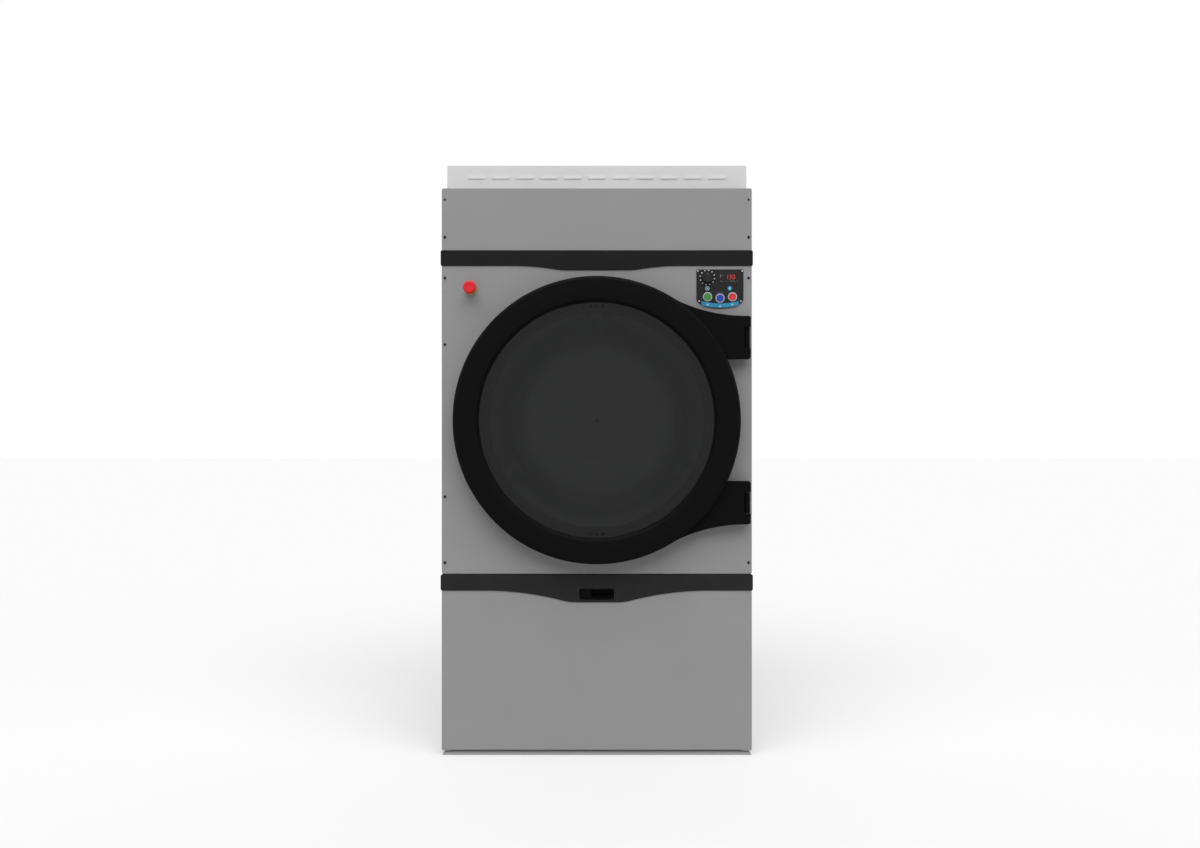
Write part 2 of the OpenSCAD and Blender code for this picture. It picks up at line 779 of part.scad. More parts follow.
// The shaft's flange bolts to the drum's back, and its tip shows in the middle of it
module drum_shaft() color("gray") turned(drum_c) {
    translate([0, drum_disc_d - 5]) square([shaft_tip_r, 10]);
    translate([0, drum_disc_d + 2.2]) square([20, 30]);
    translate([0, drum_disc_d + 12]) square([75, 12]);
    translate([0, 780]) square([shaft_r, 146]);
}

module drum_pulley() color("#5a5f64") difference() {
    pulley(drum_c, drum_pulley_r, second_belt_d, 48, shaft_r);
    for (k = [0:5]) ring(drum_c + 150 * [cos(60 * k), sin(60 * k)], 42, 0, 880, 930);
}

module jackshaft() color("#5a5f64") {
    ring(jack_c, 12.5, 0, 800, 922);
    pulley(jack_c, jack_large_r, first_belt_d, 28, 12);
    pulley(jack_c, jack_small_r, second_belt_d, 24, 12);
}

module motor_pulley() color("#5a5f64") {
    ring(motor_c, 13, 0, motor_d[1] - 38, 852);
    pulley(motor_c, motor_pulley_r, first_belt_d, 22, 12);
}

fan_blades = 20;
impeller_r = 142;

module fan_impeller() color("silver")
    translate([fan_c[0] - fan_w / 2, front_y + fan_d, fan_c[1]]) rotate([0, 90, 0]) {
        translate([0, 0, 12]) cylinder(r = impeller_r, h = 3);
        translate([0, 0, 12]) cylinder(r = 24, h = 45);
        translate([0, 0, fan_motor_x[1] - fan_c[0] + fan_w / 2 - 36])
            cylinder(r = fan_shaft_r, h = 90);
        translate([0, 0, 108]) difference() {
            cylinder(r = impeller_r, h = 3);
            translate([0, 0, -1]) cylinder(r = 104, h = 5);
        }
        for (k = [0:fan_blades - 1]) rotate(360 / fan_blades * k)
            translate([108, 0, 14]) rotate(35) cube([36, 2, 95]);
    }

// ---- Lint drawer ----

module drawer_front() color("darkgray") difference() {
    panel_face(panel_foot, lower_trim_z[1] - 4, 0.4);
    slab(-1, sheet + 1) translate(cup_c) rounded(cup_size - [4, 4], 4);
}

module lower_trim() color("#2a2a2a") difference() {
    trim_band(lower_trim_z, lower_dip);
    slab(-trim_t - 1, 1) translate(cup_c) rounded(cup_size, 5);
}

// A flush pull: a shallow seat for the lock at the left, and a finger scoop at the right
module pull_cup() color("#0c0c0c") difference() {
    union() {
        slab(-cup_front, 0) translate(cup_c) rounded(cup_size - [0.4, 0.4], 4.8);
        slab(-1, cup_seat_back) translate(cup_c) rounded(cup_size - [5, 5], 3.5);
        slab(-1, cup_scoop_back) translate(cup_c + [15.5, 0]) rounded([73, cup_size[1] - 5], 3.5);
    }
    hull() {
        slab(-cup_front - 1, -cup_front) translate(cup_c + [16, 0]) rounded([70, 26], 3);
        slab(cup_scoop_back - 3, cup_scoop_back - 2) translate(cup_c + [16, 4.5])
            rounded([60, 14], 3);
    }
    slab(-cup_front - 1, 2) translate(cup_c + [-37, 0]) rounded([28, 26], 3);
    ring(lock_c, 9.3, 0, 0, cup_seat_back + 1);
}

// Lock core with a raised triangle for its key, and a cam that turns up behind the front panel
module drawer_lock() color("#101010") {
    ring(lock_c, 9, 0, 0, 14);
    translate([lock_c[0], front_y, lock_c[1]]) rotate([90, 0, 0])
        rotate(90) cylinder(r = 5.5, h = cup_front - 0.5, $fn = 3);
    slab(10, 13) translate(lock_c) {
        translate([-66, -9]) square([66, 18]);
        translate([-66, 0]) circle(9);
        circle(12);
    }
}

module drawer_tray() color("silver") {
    x = tray_w / 2;
    difference() {
        block([-x, x], tray_d, tray_z);
        block([-x + sheet, x - sheet], tray_d + [sheet, -sheet], tray_z + [sheet, 1]);
        block([-x + 24, x - 24], tray_d + [24, -24], tray_z + [-1, 0]);
    }
    for (s = [-1, 1]) scale_x(s) {
        block([x - eps, x + 38], tray_d, [rail_z + 3, rail_z + 5]);
        block([300, 340], [sheet, tray_d[0]], [200, 320]);
    }
}

// Frame and backing of the lint screen, which lies on the ledge at the foot of the tray
module lint_screen() color("gainsboro") {
    x = tray_w / 2 - 2.5;
    d = tray_d + [2.5, -2.5];
    z = tray_z[0] + sheet;
    difference() {
        block([-x, x], d, [z, z + 8]);
        block([-x + 20, x - 20], d + [20, -20], [z + 1.2, z + 9]);
    }
    block([-6, 6], d + [20, -20], [z + 1, z + 8]);
}

module drawer_rails() color("silver") for (s = [-1, 1]) scale_x(s) {
    block([tray_w / 2 + 26, inner_x], [20, 560], [rail_z, rail_z + 2.6]);
    block([inner_x - 2, inner_x], [20, 560], [rail_z - 24, rail_z + 26]);
    block([tray_w / 2 + 26, inner_x], [20, 560], [rail_z + 8, rail_z + 10]);
}

// ---- Nodes ----

base_pan();
levelling_feet();
side_panel(-1);  // side_panel_left
side_panel(1);  // side_panel_right
rear_panel();
rear_access_cover();
airbox_cover();
heater_bank();
upper_front_panel();
upper_trim();
front_panel();
port_ring();
door_seal();
drum_felt_seal();
drum_casing();
rear_bulkhead();
bearing_housing();
shaft_bearings();
drum_motor();
jackshaft_bracket();
drum_belt();
motor_belt();
fan_scroll();
fan_motor();
exhaust_spigot();
cable_gland();
electrics_tray();
control_plate();
control_board();
panel_screws();
estop_base();
hinge_brackets();
hinge_pins();
drawer_rails();
door_catch();
door_ring();
door_glass();
door_inner_frame();
hinge_arm(1);  // hinge_arm_upper
hinge_arm(-1);  // hinge_arm_lower
drum_shell();
drum_back();
drum_lifters();
drum_shaft();
drum_pulley();
jackshaft();
motor_pulley();
fan_impeller();
drawer_front();
lower_trim();
pull_cup();
drawer_tray();
lint_screen();
drawer_lock();
estop_plunger();
estop_head();
start_button();
mode_button();
stop_button();
selector_knob();
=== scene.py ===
"""The looks of a commercial tumble dryer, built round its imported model.

Lengths are millimetres unless a name or comment says otherwise. Depth is measured backwards
from the outer face of the front panels, so it is negative in front of them.
"""

from __future__ import annotations

import json
import logging
import math
from collections.abc import Callable, Iterable, Sequence
from dataclasses import dataclass
from enum import Enum
from typing import Any

import bmesh
import bpy
from mathutils import Euler, Matrix, Vector

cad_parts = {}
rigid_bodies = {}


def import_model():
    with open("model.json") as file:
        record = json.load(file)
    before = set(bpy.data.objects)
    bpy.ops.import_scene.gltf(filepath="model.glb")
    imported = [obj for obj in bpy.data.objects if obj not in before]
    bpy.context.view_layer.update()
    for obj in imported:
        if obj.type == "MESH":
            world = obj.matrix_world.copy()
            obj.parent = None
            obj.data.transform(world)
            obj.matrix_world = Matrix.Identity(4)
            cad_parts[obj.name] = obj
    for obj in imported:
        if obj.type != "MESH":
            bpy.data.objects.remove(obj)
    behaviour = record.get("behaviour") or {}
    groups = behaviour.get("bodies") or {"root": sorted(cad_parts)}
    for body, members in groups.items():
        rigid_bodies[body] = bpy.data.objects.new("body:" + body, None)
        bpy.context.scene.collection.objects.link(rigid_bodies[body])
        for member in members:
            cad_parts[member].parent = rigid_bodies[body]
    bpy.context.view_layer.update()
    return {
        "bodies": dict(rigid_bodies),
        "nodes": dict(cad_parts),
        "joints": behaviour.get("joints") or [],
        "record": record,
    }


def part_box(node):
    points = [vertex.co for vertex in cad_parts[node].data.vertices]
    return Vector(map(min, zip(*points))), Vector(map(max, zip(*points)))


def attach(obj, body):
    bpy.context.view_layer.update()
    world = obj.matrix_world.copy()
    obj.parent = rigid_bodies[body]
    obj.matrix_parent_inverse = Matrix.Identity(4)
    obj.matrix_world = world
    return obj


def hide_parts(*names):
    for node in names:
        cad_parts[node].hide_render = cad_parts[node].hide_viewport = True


log = logging.getLogger("tumble_dryer")

MM = 0.001
# How close to an edge a face counts as being on it, and how close two points count as one.
NEAR = 0.3
SAME = 0.02
# Edges sharper than this, in degrees, stay crisp where a piece doesn't say otherwise.
CRISP = 38.0
Point = tuple[float, float]
Loop = list[Point]


class Body(Enum):
    """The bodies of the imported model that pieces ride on."""

    CABINET = "cabinet"
    DOOR = "door"
    DRUM = "drum"
    JACKSHAFT = "jack_shaft"
    MOTOR = "motor_rotor"
    FAN = "fan_rotor"
    DRAWER = "lint_drawer"
    LOCK = "lock_core"
    STOP_STEM = "estop_stem"
    STOP_CAP = "estop_cap"
    START = "start_cap"
    MODE = "mode_cap"
    STOP = "stop_cap"
    KNOB = "knob"


class Datum:
    """Where the outer face of the front panels lies, in metres."""

    front: float = 0.0

    @classmethod
    def read(cls) -> None:
        """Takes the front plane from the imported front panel."""
        cls.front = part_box("front_panel")[0][1]


def place(x: float, depth: float, z: float) -> Vector:
    """A point given in millimetres, in the shared frame in metres."""
    return Vector((x * MM, Datum.front + depth * MM, z * MM))


@dataclass(frozen=True)
class Extent:
    """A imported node's box, in millimetres, with depth behind the front panels."""

    left: float
    right: float
    front: float
    back: float
    bottom: float
    top: float

    @classmethod
    def of(cls, node: str) -> Extent:
        """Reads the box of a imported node."""
        low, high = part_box(node)
        return cls(low[0] / MM, high[0] / MM, (low[1] - Datum.front) / MM,
                   (high[1] - Datum.front) / MM, low[2] / MM, high[2] / MM)

    @property
    def middle(self) -> Point:
        """The middle of the box as x and z."""
        return (self.left + self.right) / 2, (self.bottom + self.top) / 2

    @property
    def width(self) -> float:
        """The size of the box along x."""
        return self.right - self.left

    @property
    def height(self) -> float:
        """The size of the box along z."""
        return self.top - self.bottom


# ---- Node trees ----


def add_node(tree: bpy.types.NodeTree, kind: str, inputs: dict[Any, Any] | None = None,
             **settings: Any) -> bpy.types.Node:
    """Adds a node with its settings, its fixed values and its links.

    Args:
        tree: The tree that gets the node.
        kind: Blender's name for the type of node.
        inputs: Socket name or number to a value, or to another node's output.
        **settings: Attributes of the node itself.

    Returns:
        The new node.
    """
    node = tree.nodes.new(kind)
    for name, value in settings.items():
        setattr(node, name, value)
    for key, value in (inputs or {}).items():
        if isinstance(value, bpy.types.NodeSocket):
            tree.links.new(value, node.inputs[key])
        else:
            node.inputs[key].default_value = value
    return node


def maths(tree: bpy.types.NodeTree, operation: str, *values: Any) -> bpy.types.NodeSocket:
    """Adds one step of arithmetic on numbers or on other nodes' outputs."""
    return add_node(tree, "ShaderNodeMath", dict(enumerate(values)), operation=operation).outputs[0]


def linear(code: str) -> tuple[float, float, float, float]:
    """Turns an sRGB hex colour into the linear colour that shaders take."""
    parts = [int(code[i:i + 2], 16) / 255 for i in (0, 2, 4)]
    red, green, blue = (c / 12.92 if c <= 0.04045 else ((c + 0.055) / 1.055) ** 2.4 for c in parts)
    return red, green, blue, 1.0


def shade(code: str, factor: float) -> tuple[float, float, float, float]:
    """A hex colour made lighter or darker by a factor, in linear light."""
    red, green, blue, alpha = linear(code)
    return red * factor, green * factor, blue * factor, alpha


# ---- Finishes ----


@dataclass(frozen=True)
class Finish:
    """A surface finish. Subclasses say how their colour, gloss and relief come about."""

    name: str
    colour: str
    slot: str
    roughness: float = 0.5
    specular: float = 0.5

    def material(self) -> bpy.types.Material:
        """The material, made once and then shared."""
        known = bpy.data.materials.get(self.name)
        if known:
            return known
        made = bpy.data.materials.new(self.name)
        made.use_nodes = True
        made.diffuse_color = linear(self.colour)
        tree = made.node_tree
        tree.nodes.clear()
        output = add_node(tree, "ShaderNodeOutputMaterial")
        surface = self.surface(tree)
        tree.links.new(surface, output.inputs["Surface"])
        return made

    def surface(self, tree: bpy.types.NodeTree) -> bpy.types.NodeSocket:
        """Builds the shader nodes and returns the output that the surface takes."""
        raise NotImplementedError

    def noise(self, tree: bpy.types.NodeTree, size: float, detail: float,
              stretch: Sequence[float] = (1, 1, 1)) -> bpy.types.NodeSocket:
        """Noise whose features measure about size millimetres, longer along a stretched axis."""
        where = add_node(tree, "ShaderNodeTexCoord").outputs["Object"]
        scaled = add_node(tree, "ShaderNodeMapping", {
            "Vector": where, "Scale": [1 / (size * MM * s) for s in stretch]})
        grain = add_node(tree, "ShaderNodeTexNoise", {
            "Vector": scaled.outputs["Vector"], "Scale": 1.0, "Detail": detail})
        return grain.outputs["Fac"]

    def spread(self, tree: bpy.types.NodeTree, value: bpy.types.NodeSocket, low: float,
               high: float) -> bpy.types.NodeSocket:
        """Maps the middle of a 0 to 1 pattern onto a range of numbers."""
        mapped = add_node(tree, "ShaderNodeMapRange", {
            "Value": value, "From Min": 0.3, "From Max": 0.7, "To Min": low, "To Max": high})
        return mapped.outputs["Result"]

    def blend(self, tree: bpy.types.NodeTree, value: bpy.types.NodeSocket, low: float,
              high: float) -> bpy.types.NodeSocket:
        """A colour that runs from low times to high times the finish's own."""
        ramp = add_node(tree, "ShaderNodeValToRGB", {"Fac": value})
        ramp.color_ramp.elements[0].position = 0.3
        ramp.color_ramp.elements[0].color = shade(self.colour, low)
        ramp.color_ramp.elements[1].position = 0.7
        ramp.color_ramp.elements[1].color = shade(self.colour, high)
        return ramp.outputs["Color"]

    def relief(self, tree: bpy.types.NodeTree, height: bpy.types.NodeSocket,
               depth: float) -> bpy.types.NodeSocket:
        """A normal from a 0 to 1 height that stands depth millimetres tall."""
        bump = add_node(tree, "ShaderNodeBump", {
            "Height": height, "Distance": depth * MM, "Strength": 1.0})
        return bump.outputs["Normal"]


@dataclass(frozen=True)
class PowderCoat(Finish):
    """Baked powder paint on sheet steel: fine orange peel, and a soft satin gloss."""

    grain: float = 1.6
    depth: float = 0.012

    def surface(self, tree: bpy.types.NodeTree) -> bpy.types.NodeSocket:
        """Even colour with a faint drift over a hand's breadth, and peel that breaks the gloss."""
        drift = self.noise(tree, 180, 3)
        peel = self.noise(tree, self.grain, 3)
        return add_node(tree, "ShaderNodeBsdfPrincipled", {
            "Base Color": self.blend(tree, drift, 0.98, 1.02),
            "Roughness": self.spread(tree, peel, self.roughness - 0.05, self.roughness + 0.05),
            "Normal": self.relief(tree, peel, self.depth),
            "Specular IOR Level": self.specular, "IOR": 1.5}).outputs["BSDF"]


@dataclass(frozen=True)
class MouldedPlastic(Finish):
    """Injection-moulded plastic: an etched tool leaves a fine, even grain on it."""

    grain: float = 0.9
    depth: float = 0.03

    def surface(self, tree: bpy.types.NodeTree) -> bpy.types.NodeSocket:
        """Grain in the relief and the gloss, with the colour almost even."""
        grain = self.noise(tree, self.grain, 2)
        flow = self.noise(tree, 60, 2)
        return add_node(tree, "ShaderNodeBsdfPrincipled", {
            "Base Color": self.blend(tree, flow, 0.94, 1.06),
            "Roughness": self.spread(tree, grain, self.roughness - 0.06, self.roughness + 0.06),
            "Normal": self.relief(tree, grain, self.depth),
            "Specular IOR Level": self.specular, "IOR": 1.46}).outputs["BSDF"]


@dataclass(frozen=True)
class Rubber(Finish):
    """Vulcanised rubber or felted fibre: matt, with a dusty bloom and a coarse skin."""

    grain: float = 1.2
    depth: float = 0.05
    sheen: float = 0.1

    def surface(self, tree: bpy.types.NodeTree) -> bpy.types.NodeSocket:
        """Bloom in the colour and a coarse skin in the relief."""
        bloom = self.noise(tree, 14, 4)
        skin = self.noise(tree, self.grain, 3)
        return add_node(tree, "ShaderNodeBsdfPrincipled", {
            "Base Color": self.blend(tree, bloom, 0.82, 1.2),
            "Roughness": self.spread(tree, bloom, self.roughness - 0.06, self.roughness + 0.06),
            "Normal": self.relief(tree, skin, self.depth),
            "Specular IOR Level": self.specular, "Sheen Weight": self.sheen,
            "IOR": 1.52}).outputs["BSDF"]


@dataclass(frozen=True)
class BrushedSteel(Finish):
    """Rolled and brushed steel: fine lines along one way draw the highlight out across them."""

    line: float = 0.5
    stretch: tuple[float, float, float] = (60, 60, 1)

    def surface(self, tree: bpy.types.NodeTree) -> bpy.types.NodeSocket:
        """Long scratches in gloss and relief, and a little tarnish in the colour."""
        lines = self.noise(tree, self.line, 2, self.stretch)
        tarnish = self.noise(tree, 90, 3)
        return add_node(tree, "ShaderNodeBsdfPrincipled", {
            "Base Color": self.blend(tree, tarnish, 0.93, 1.05),
            "Metallic": 1.0,
            "Roughness": self.spread(tree, lines, self.roughness - 0.08, self.roughness + 0.1),
            "Normal": self.relief(tree, lines, 0.008)}).outputs["BSDF"]


@dataclass(frozen=True)
class ZincSheet(Finish):
    """Hot-dip galvanised sheet: flat zinc crystals, the spangle, each catch light their own way."""

    spangle: float = 11.0

    def surface(self, tree: bpy.types.NodeTree) -> bpy.types.NodeSocket:
        """Cells in colour and gloss over a fine grain."""
        where = add_node(tree, "ShaderNodeTexCoord").outputs["Object"]
        cells = add_node(tree, "ShaderNodeTexVoronoi", {
            "Vector": where, "Scale": 1 / (self.spangle * MM)}, feature="F1")
        tone = add_node(tree, "ShaderNodeSeparateColor", {"Color": cells.outputs["Color"]})
        grain = self.noise(tree, 0.8, 2)
        return add_node(tree, "ShaderNodeBsdfPrincipled", {
            "Base Color": self.blend(tree, tone.outputs["Red"], 0.86, 1.06),
            "Metallic": 0.9,
            "Roughness": self.spread(tree, tone.outputs["Green"], self.roughness - 0.07,
                                     self.roughness + 0.09),
            "Normal": self.relief(tree, grain, 0.004)}).outputs["BSDF"]


@dataclass(frozen=True)
class CastIron(Finish):
    """Sand-cast and painted iron: a rough skin, with paint pooled in its hollows."""

    grain: float = 2.2

    def surface(self, tree: bpy.types.NodeTree) -> bpy.types.NodeSocket:
        """Coarse relief, dark in its hollows."""
        skin = self.noise(tree, self.grain, 5)
        return add_node(tree, "ShaderNodeBsdfPrincipled", {
            "Base Color": self.blend(tree, skin, 0.8, 1.15),
            "Metallic": 0.3,
            "Roughness": self.spread(tree, skin, self.roughness - 0.1, self.roughness + 0.1),
            "Normal": self.relief(tree, skin, 0.12)}).outputs["BSDF"]


@dataclass(frozen=True)
class TintedGlass(Finish):
    """Toughened glass with a dark tint: clear reflections over a dim view of what is behind."""

    alpha: float = 0.66
    ior: float = 1.45

    def surface(self, tree: bpy.types.NodeTree) -> bpy.types.NodeSocket:
        """A smooth pane with a trace of wiping marks in its gloss."""
        wiping = self.noise(tree, 70, 4, (3, 3, 1))
        return add_node(tree, "ShaderNodeBsdfPrincipled", {
            "Base Color": linear(self.colour), "Alpha": self.alpha, "IOR": self.ior,
            "Specular IOR Level": self.specular,
            "Roughness": self.spread(tree, wiping, self.roughness, self.roughness + 0.04),
        }).outputs["BSDF"]


@dataclass(frozen=True)
class GlossyCap(Finish):
    """Polished moulded acrylic or nylon: a clear, bright colour under a glossy skin."""

    glow: float = 0.0

    def surface(self, tree: bpy.types.NodeTree) -> bpy.types.NodeSocket:
        """Even colour, with the faint ripple of a moulding in its gloss."""
        ripple = self.noise(tree, 6, 1)
        return add_node(tree, "ShaderNodeBsdfPrincipled", {
            "Base Color": self.blend(tree, ripple, 0.97, 1.03),
            "Roughness": self.spread(tree, ripple, self.roughness - 0.03, self.roughness + 0.03),
            "Subsurface Weight": 0.08, "Subsurface Scale": 0.002,
            "Emission Color": linear(self.colour), "Emission Strength": self.glow,
            "Specular IOR Level": self.specular, "IOR": 1.49}).outputs["BSDF"]


@dataclass(frozen=True)
class PrintedInk(Finish):
    """Screen ink on a foil: flat, matt and a touch uneven."""

    glow: float = 0.0

    def surface(self, tree: bpy.types.NodeTree) -> bpy.types.NodeSocket:
        """The screen's mesh shows as a slight mottle."""
        mottle = self.noise(tree, 0.7, 2)
        return add_node(tree, "ShaderNodeBsdfPrincipled", {
            "Base Color": self.blend(tree, mottle, 0.93, 1.05),
            "Roughness": self.spread(tree, mottle, self.roughness - 0.05, self.roughness + 0.05),
            "Emission Color": linear(self.colour), "Emission Strength": self.glow,
            "Specular IOR Level": self.specular}).outputs["BSDF"]


# Baked powder paint: even and satin. The dark coats and plastics are matt and show little gloss.
PANEL = PowderCoat("powder_coated_mid_grey", "888888", "panel_grey", 0.62, 0.4)
SIDE = PowderCoat("powder_coated_light_grey", "c6c7c8", "cabinet_grey", 0.58, 0.4)
AIRBOX = PowderCoat("powder_coated_pale_grey", "d0d0d1", "airbox_grey", 0.6, 0.3)
FRAME = PowderCoat("powder_coated_black", "0d0d0d", "frame_black", 0.5, 0.1, grain=1.2)
TRAY = PowderCoat("powder_coated_white", "dfe0e0", "enclosure", 0.5)
MOTOR = PowderCoat("stoved_enamel_blue_grey", "3c4c5c", "motor_blue_grey", 0.4, grain=3, depth=0.04)
# Moulded plastic: a fine etched grain scatters the highlight, so black stays deep.
TRIM = MouldedPlastic("moulded_abs_charcoal", "1a1a1a", "trim_black", 0.5, 0.08)
# The lower band is the same plastic as the upper one. Its lighter base colour is painted reflection
# of the pale floor.
LOWER_TRIM_PAINTED_REFLECTION = MouldedPlastic("moulded_abs_slate", "232323", "trim_black", 0.5, 0.1)
RING = MouldedPlastic("moulded_abs_black", "0b0b0b", "ring_black", 0.5, 0.04, grain=1.1)
CUP = MouldedPlastic("moulded_nylon_black", "0e0e0e", "trim_black", 0.55, 0.04)
KNOB = MouldedPlastic("moulded_phenolic_black", "282828", "knob_black", 0.5, 0.1)
FOIL = MouldedPlastic("polyester_foil_charcoal", "252525", "trim_black", 0.5, 0.1, grain=0.6,
                      depth=0.01)
WINDOW = MouldedPlastic("smoked_acrylic_window", "272727", "knob_black", 0.4, 0.1, depth=0.005)
BOARD = MouldedPlastic("lacquered_circuit_board", "1f4a2c", "board_green", 0.35)
# Blackened steel: dark, with a dull metallic glint from its edges.
BLACK_OXIDE = MouldedPlastic("black_oxide_steel", "1a1a1a", "screw_black", 0.45, 0.15, grain=0.5)
# Tinted toughened glass: one even reflection over a dim view of the drum.
GLASS = TintedGlass("toughened_tinted_glass", "0b0c0d", "tinted_glass", 0.02, 0.4)
# Rubber and felt: soft, dusty and without a highlight.
SEAL = Rubber("moulded_silicone_rubber", "1c1c1c", "seal_rubber", 0.7, 0.3)
BELT = Rubber("neoprene_belt_rubber", "161616", "belt_rubber", 0.75, 0.3, sheen=0.05)
FELT = Rubber("pressed_wool_felt", "b9a58a", "felt", 0.95, 0.3, grain=1.6, depth=0.3, sheen=0.6)
# Bare metals: their colour is all reflection, broken by spangle, brushing or turning marks.
ZINC = ZincSheet("galvanised_sheet_steel", "b4b8ba", "galvanised", 0.42)
DRUM_STEEL = BrushedSteel("brushed_stainless_steel", "c8cacc", "stainless", 0.32,
                          stretch=(60, 1, 60))
# The drum back's polish is real. Its base colour, lighter than the drum's steel, is painted light
# that brightens it behind the tinted pane.
DISC_STEEL_WITH_PAINTED_LIGHT = BrushedSteel("polished_stainless_steel", "d8dadc", "stainless", 0.14,
                          stretch=(1, 1, 1))
BRIGHT = BrushedSteel("bright_zinc_plated_steel", "c4c6c8", "zinc_steel", 0.25, stretch=(1, 1, 1))
TURNED = BrushedSteel("turned_steel", "8d9093", "machined_steel", 0.3, stretch=(1, 1, 1))
SHEATH = BrushedSteel("heater_sheath_steel", "6d7074", "heater_steel", 0.45, stretch=(40, 1, 1))
IRON = CastIron("painted_cast_iron", "5a5f64", "cast_grey", 0.6)
# Polished caps: saturated colour that seems to lie just under a smooth skin.
STOP_RED = GlossyCap("polished_nylon_red", "d2242b", "estop_red", 0.4, 0.2)
STOP_YELLOW = GlossyCap("polished_nylon_yellow", "b8921c", "estop_yellow", 0.4, 0.25)
GREEN = GlossyCap("translucent_acrylic_green", "3f8b3a", "button_green", 0.35, 0.2)
BLUE = GlossyCap("translucent_acrylic_blue", "2a47ab", "button_blue", 0.35, 0.2)
RED = GlossyCap("translucent_acrylic_red", "cb3c3a", "button_red", 0.35, 0.2)
COLLAR = GlossyCap("polished_abs_pale_grey", "b6b8ba", "zinc_steel", 0.35, 0.3)
# Screen ink: flat colour with the faint mottle of the mesh, and only the digits are lit.
WHITE_INK = PrintedInk("screen_ink_white", "dcdddb", "zinc_steel", 0.6, 0.3)
FAINT_INK = PrintedInk("screen_ink_grey", "6c6e6e", "zinc_steel", 0.6, 0.3)
CYAN_INK = PrintedInk("screen_ink_light_blue", "3189b0", "button_blue", 0.6, 0.2)
TEAL_INK = PrintedInk("screen_ink_dark_blue", "24485a", "button_blue", 0.6, 0.3)
PALE_INK = PrintedInk("screen_ink_pale_blue", "8fb4c4", "zinc_steel", 0.6, 0.3)
DIGIT = PrintedInk("lit_red_segment", "e04038", "button_red", 0.4, 0.2, glow=0.3)


# ---- Outlines ----


def arc(centre: Point, radius: float, start: float, end: float, steps: int) -> Loop:
    """Points along an arc, with its angles in degrees."""
    angles = [math.radians(start + (end - start) * k / steps) for k in range(steps + 1)]
    return [(centre[0] + radius * math.cos(a), centre[1] + radius * math.sin(a)) for a in angles]


def circle(centre: Point, radius: float, steps: int = 48) -> Loop:
    """A round loop, anticlockwise."""
    return arc(centre, radius, 0, 360, steps)[:-1]


def rounded_box(centre: Point, width: float, height: float, radius: float,
                steps: int = 6) -> Loop:
    """A rectangle with round corners, anticlockwise."""
    x, z = width / 2 - radius, height / 2 - radius
    corners = [(x, z, 0), (-x, z, 90), (-x, -z, 180), (x, -z, 270)]
    return [p for cx, cz, turn in corners
            for p in arc((centre[0] + cx, centre[1] + cz), radius, turn, turn + 90, steps)]


def thinned(loop: Loop) -> Loop:
    """The loop without points that lie on their neighbour."""
    kept: Loop = []
    for point in loop:
        if not kept or math.dist(point, kept[-1]) > SAME:
            kept.append(point)
    if math.dist(kept[0], kept[-1]) <= SAME:
        kept.pop()
    return kept


def area(loop: Loop) -> float:
    """The signed area of a loop, positive when it runs anticlockwise."""
    return sum(a[0] * b[1] - b[0] * a[1] for a, b in zip(loop, loop[1:] + loop[:1])) / 2


def grown(loop: Loop, distance: float) -> Loop:
    """An anticlockwise loop moved outwards by a distance, or inwards when it is negative."""
    sharpest = 0.35
    moved: Loop = []
    for before, here, after in zip(loop[-1:] + loop[:-1], loop, loop[1:] + loop[:1]):
        first = Vector((here[0] - before[0], here[1] - before[1])).normalized()
        second = Vector((after[0] - here[0], after[1] - here[1])).normalized()
        normal = Vector((first.y + second.y, -first.x - second.x))
        if normal.length < 1e-6:
            moved.append(here)
            continue
        normal.normalize()
        reach = distance / max(sharpest, normal.dot(Vector((first.y, -first.x))))
        moved.append((here[0] + normal.x * reach, here[1] + normal.y * reach))
    return moved


def mirrored(loop: Loop, x: float) -> Loop:
    """The loop on the other side of a line at x, still running the same way round."""
    return [(2 * x - px, pz) for px, pz in reversed(loop)]


def flipped(loop: Loop, z: float) -> Loop:
    """The loop upside down about a height, still running the same way round."""
    return [(px, 2 * z - pz) for px, pz in reversed(loop)]


def filleted(points: Iterable[tuple[float, float, float]], steps: int) -> Loop:
    """A closed polygon whose corners are rounded: each point is two coordinates and a radius."""
    corners = list(points)
    loop: Loop = []
    for before, here, after in zip(corners[-1:] + corners[:-1], corners, corners[1:] + corners[:1]):
        corner = Vector(here[:2])
        if here[2] <= 0:
            loop.append((corner.x, corner.y))
            continue
        to_before = (Vector(before[:2]) - corner).normalized()
        to_after = (Vector(after[:2]) - corner).normalized()
        half = to_before.angle(to_after) / 2
        reach = here[2] / math.tan(half)
        start, end = corner + to_before * reach, corner + to_after * reach
        centre = corner + (to_before + to_after).normalized() * (here[2] / math.sin(half))
        a0 = math.atan2(start.y - centre.y, start.x - centre.x)
        a1 = math.atan2(end.y - centre.y, end.x - centre.x)
        turn = (a1 - a0 + math.pi) % (2 * math.pi) - math.pi
        loop += [(centre.x + here[2] * math.cos(a0 + turn * k / steps),
                  centre.y + here[2] * math.sin(a0 + turn * k / steps)) for k in range(steps + 1)]
    return loop


# ---- Solids ----


